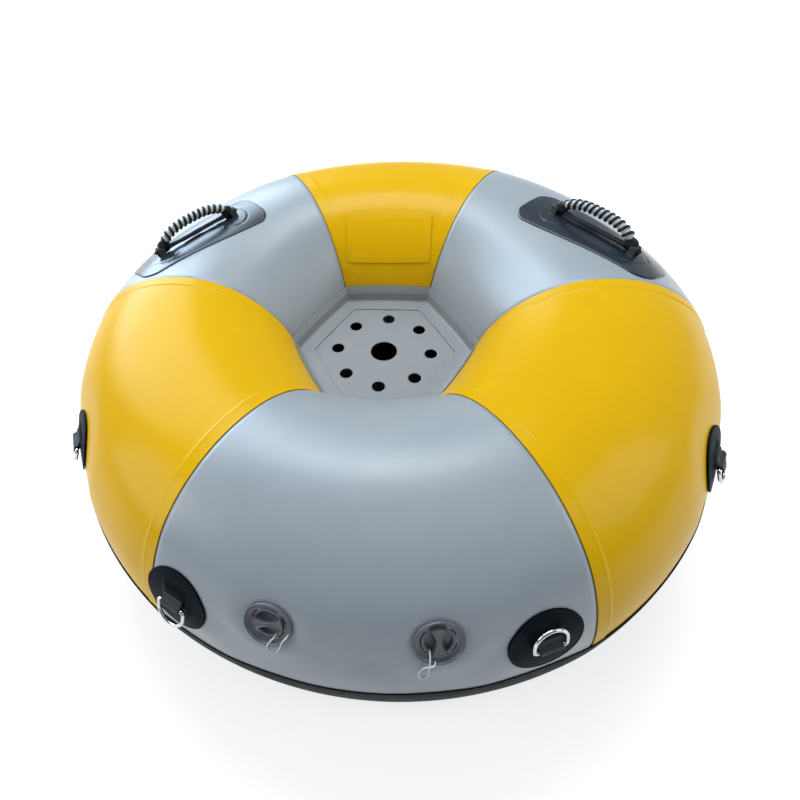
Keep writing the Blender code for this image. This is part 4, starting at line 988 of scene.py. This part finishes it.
def handle_grip(name, seat):
    """The grip: a light core arched over the handle, a black cord wound round it, a roll of webbing
    under it, and the wraps that tie both together at the ends."""
    start = WEBBING_RADIUS + GAP + 0.0042
    arch = lambda share: start + (GRIP_RISE - start) * (1 - np.abs(share) ** GRIP_ARCH)
    across = np.linspace(-1, 1, 90)
    rise = arch(across)
    core = seat.put(across * GRIP_HALF_LENGTH, 0, rise, pivot=True)
    thick = CORE_RADIUS * np.minimum(1, 0.62 + (1 - np.abs(across)) * 3)
    sweep(name + "_grip_core", core, seat.y, thick, thick, "core", sides=24, body=name, node=name + "_grip")

    s = np.linspace(-0.985, 0.985, 700)
    centre = seat.put(s * GRIP_HALF_LENGTH, 0, arch(s), pivot=True)
    ahead = unit(np.gradient(centre, axis=0))
    over = np.cross(ahead, np.broadcast_to(seat.y, ahead.shape))
    angle = 2 * np.pi * GRIP_TURNS * (s + 1) / 2
    away = (np.interp(s, across, thick) + 0.0009)[:, None]
    outward = np.cos(angle)[:, None] * over + np.sin(angle)[:, None] * seat.y
    sweep(name + "_grip_cord", centre + outward * away, outward, CORD_HALF_HEIGHT, CORD_HALF_WIDTH, "cord",
          sides=14, body=name)

    end = EYE_SPACING / 2 + 0.013
    along = np.linspace(-end, end, 150)
    sway = 0.0008 * np.sin(along * 60)
    fold = 0.0043 + 0.0003 * np.sin(along * 95) + 0.0002 * np.cos(along * 210)
    closed = np.clip((end - np.abs(along)) / 0.004, 0.05, 1) ** 0.5
    roll = seat.put(along, sway, -WEBBING_SAG * np.cos(np.pi * along / (2 * end)), pivot=True)
    turn = along * 45
    side = np.cos(turn)[:, None] * seat.z + np.sin(turn)[:, None] * seat.y
    sweep(name + "_webbing_roll", roll, side, fold * closed, fold * 0.86 * closed, "webbing", body=name,
          node=name + "_webbing")

    for k, place in enumerate((-1, 1)):
        t = np.linspace(0, 1, 260)
        wrap = 2 * np.pi * KNOT_TURNS * t
        round_end = np.sqrt(np.maximum(1 - (2 * t - 1) ** 2, 0)) ** 0.7
        x = place * (GRIP_HALF_LENGTH - 0.009 + KNOT_LENGTH * t)
        lift = np.interp(np.abs(x) / GRIP_HALF_LENGTH, np.abs(across[45:]), rise[45:]) * 0.5
        tall, wide = 0.55 * lift + 0.0020 + 0.0058 * round_end, 0.0030 + 0.0019 * round_end
        path = seat.put(x, wide * np.cos(wrap), lift * 0.9 + tall * np.sin(wrap), pivot=True)
        middle = seat.put(x, 0, lift * 0.9, pivot=True)
        sweep(f"{name}_knot_{k + 1}", path, unit(path - middle), CORD_HALF_HEIGHT, KNOT_HALF_WIDTH, "cord",
              sides=14, body=name)


# ---- kept solids, stage and light

def kept_solids():
    """The hidden solids whose shape is right as it is get their finishes."""
    inner = {"_nut": "plastic", "_stem": "plastic", "_spring": "spring", "_seal": "rubber"}
    chosen = {f"chamber_wall_{side}": "grey" for side in ("front", "back")}
    chosen.update({valve + part: finish for valve in VALVE_PLACES for part, finish in inner.items()})
    for node, finish in chosen.items():
        mesh = frame["nodes"][node].data
        mesh.materials.clear()
        mesh.materials.append(finishes[finish])


def stage():
    """A pale floor that keeps the shadow, and a pale surround that metal and glossy fabric see too."""
    paper = Finish("pale_floor", specular_ior_level=0.1)
    place = paper.node("TexCoord", out="Object")
    away = paper.node("VectorMath", {"operation": "LENGTH"}, {0: place}, out="Value")
    rays = ("Is Camera Ray", "Is Glossy Ray", "Is Transmission Ray")
    camera, glossy, through = (paper.node("LightPath", out=ray) for ray in rays)
    seen = camera + glossy + through
    paper.use("Base Color", paper.mix(paper.noise(40.0), (0.60, 0.60, 0.60), (0.64, 0.64, 0.64)))
    paper.use("Roughness", 0.9)
    paper.use("Emission Color", (1, 1, 1))
    glow = away.eased(0.42, 0.62, 0.0, 0.62) + away.eased(0.7, 2.2, 0.0, 0.45)
    paper.use("Emission Strength", seen * glow)
    mesh = bpy.data.meshes.new("floor")
    mesh.from_pydata([(-9, -9, 0), (9, -9, 0), (9, 9, 0), (-9, 9, 0)], [], [(0, 1, 2, 3)])
    mesh.materials.append(paper.material)
    placed("floor", mesh)

    world = bpy.data.worlds.new("soft_sky")
    bpy.context.scene.world = world
    world.use_nodes = True
    sky = Nodes(world.node_tree)
    sky.tree.nodes.clear()
    ahead = sky.node("TexCoord", out="Generated")
    depth = sky.node("SeparateXYZ", None, {0: ahead}, out=1)
    facing = sky.node("VectorMath", {"operation": "DOT_PRODUCT"}, {0: ahead, 1: WINDOW_TOWARDS},
                      out="Value")
    camera, glossy = (sky.node("LightPath", out=ray) for ray in rays[:2])
    window = glossy * facing.eased(0.84, 0.97)
    soft = depth.eased(-0.7, 0.7, 0.26, 0.52) + window * WINDOW_BRIGHTNESS
    strength = camera + (1 - camera) * soft
    light = sky.mix(window, (0.88, 0.95, 1.0), (0.62, 0.80, 1.0))
    colour = sky.mix(camera, light, (1, 1, 1))
    background = sky.node("Background", None, {"Color": colour, "Strength": strength})
    sky.node("OutputWorld", None, {0: background}, out=None)


def lamp(name, place, aim, width, height, energy, colour):
    data = bpy.data.lights.new(name, "AREA")
    data.shape, data.size, data.size_y, data.energy, data.color = "RECTANGLE", width, height, energy, colour
    made = placed(name, data)
    made.location = place
    made.rotation_euler = (Vector(aim) - Vector(place)).to_track_quat("-Z", "Y").to_euler()


# ---- the whole scene

photo_camera()
tethers()
for number, side in enumerate(("back_right", "back", "back_left", "front_left", "front", "front_right")):
    panel("panel_" + side, 60.0 * number, number % 2 == 0)
lower_skin_and_band()
back_patch()
seat_floor()
for number in range(6):
    floor_tape(number)
for name, (_, _, rests) in D_PLACES.items():
    d_set(name, rests)
for name, (_, _, grip_turn, _) in VALVE_PLACES.items():
    valve_flange(name, seats[name])
    valve_cap(name, seats[name], grip_turn)
for name in HANDLE_PLACES:
    for part in (handle_pad, handle_eyes, handle_grip):
        part(name, seats[name])
kept_solids()
stage()
lamp("soft_top", (-0.1, 0.85, 2.5), (0, -0.1, 0.3), 1.35, 0.85, 37, (0.90, 0.97, 1.0))
lamp("soft_left", (-2.3, -0.8, 1.3), (-0.2, 0, 0.25), 1.2, 1.4, 22, (1.0, 0.99, 0.96))
lamp("soft_right", (2.4, -0.5, 1.6), (0.2, 0, 0.25), 1.2, 1.4, 17, (1.0, 0.99, 0.96))
bpy.context.scene.view_settings.view_transform = "Standard"

bpy.context.view_layer.update()
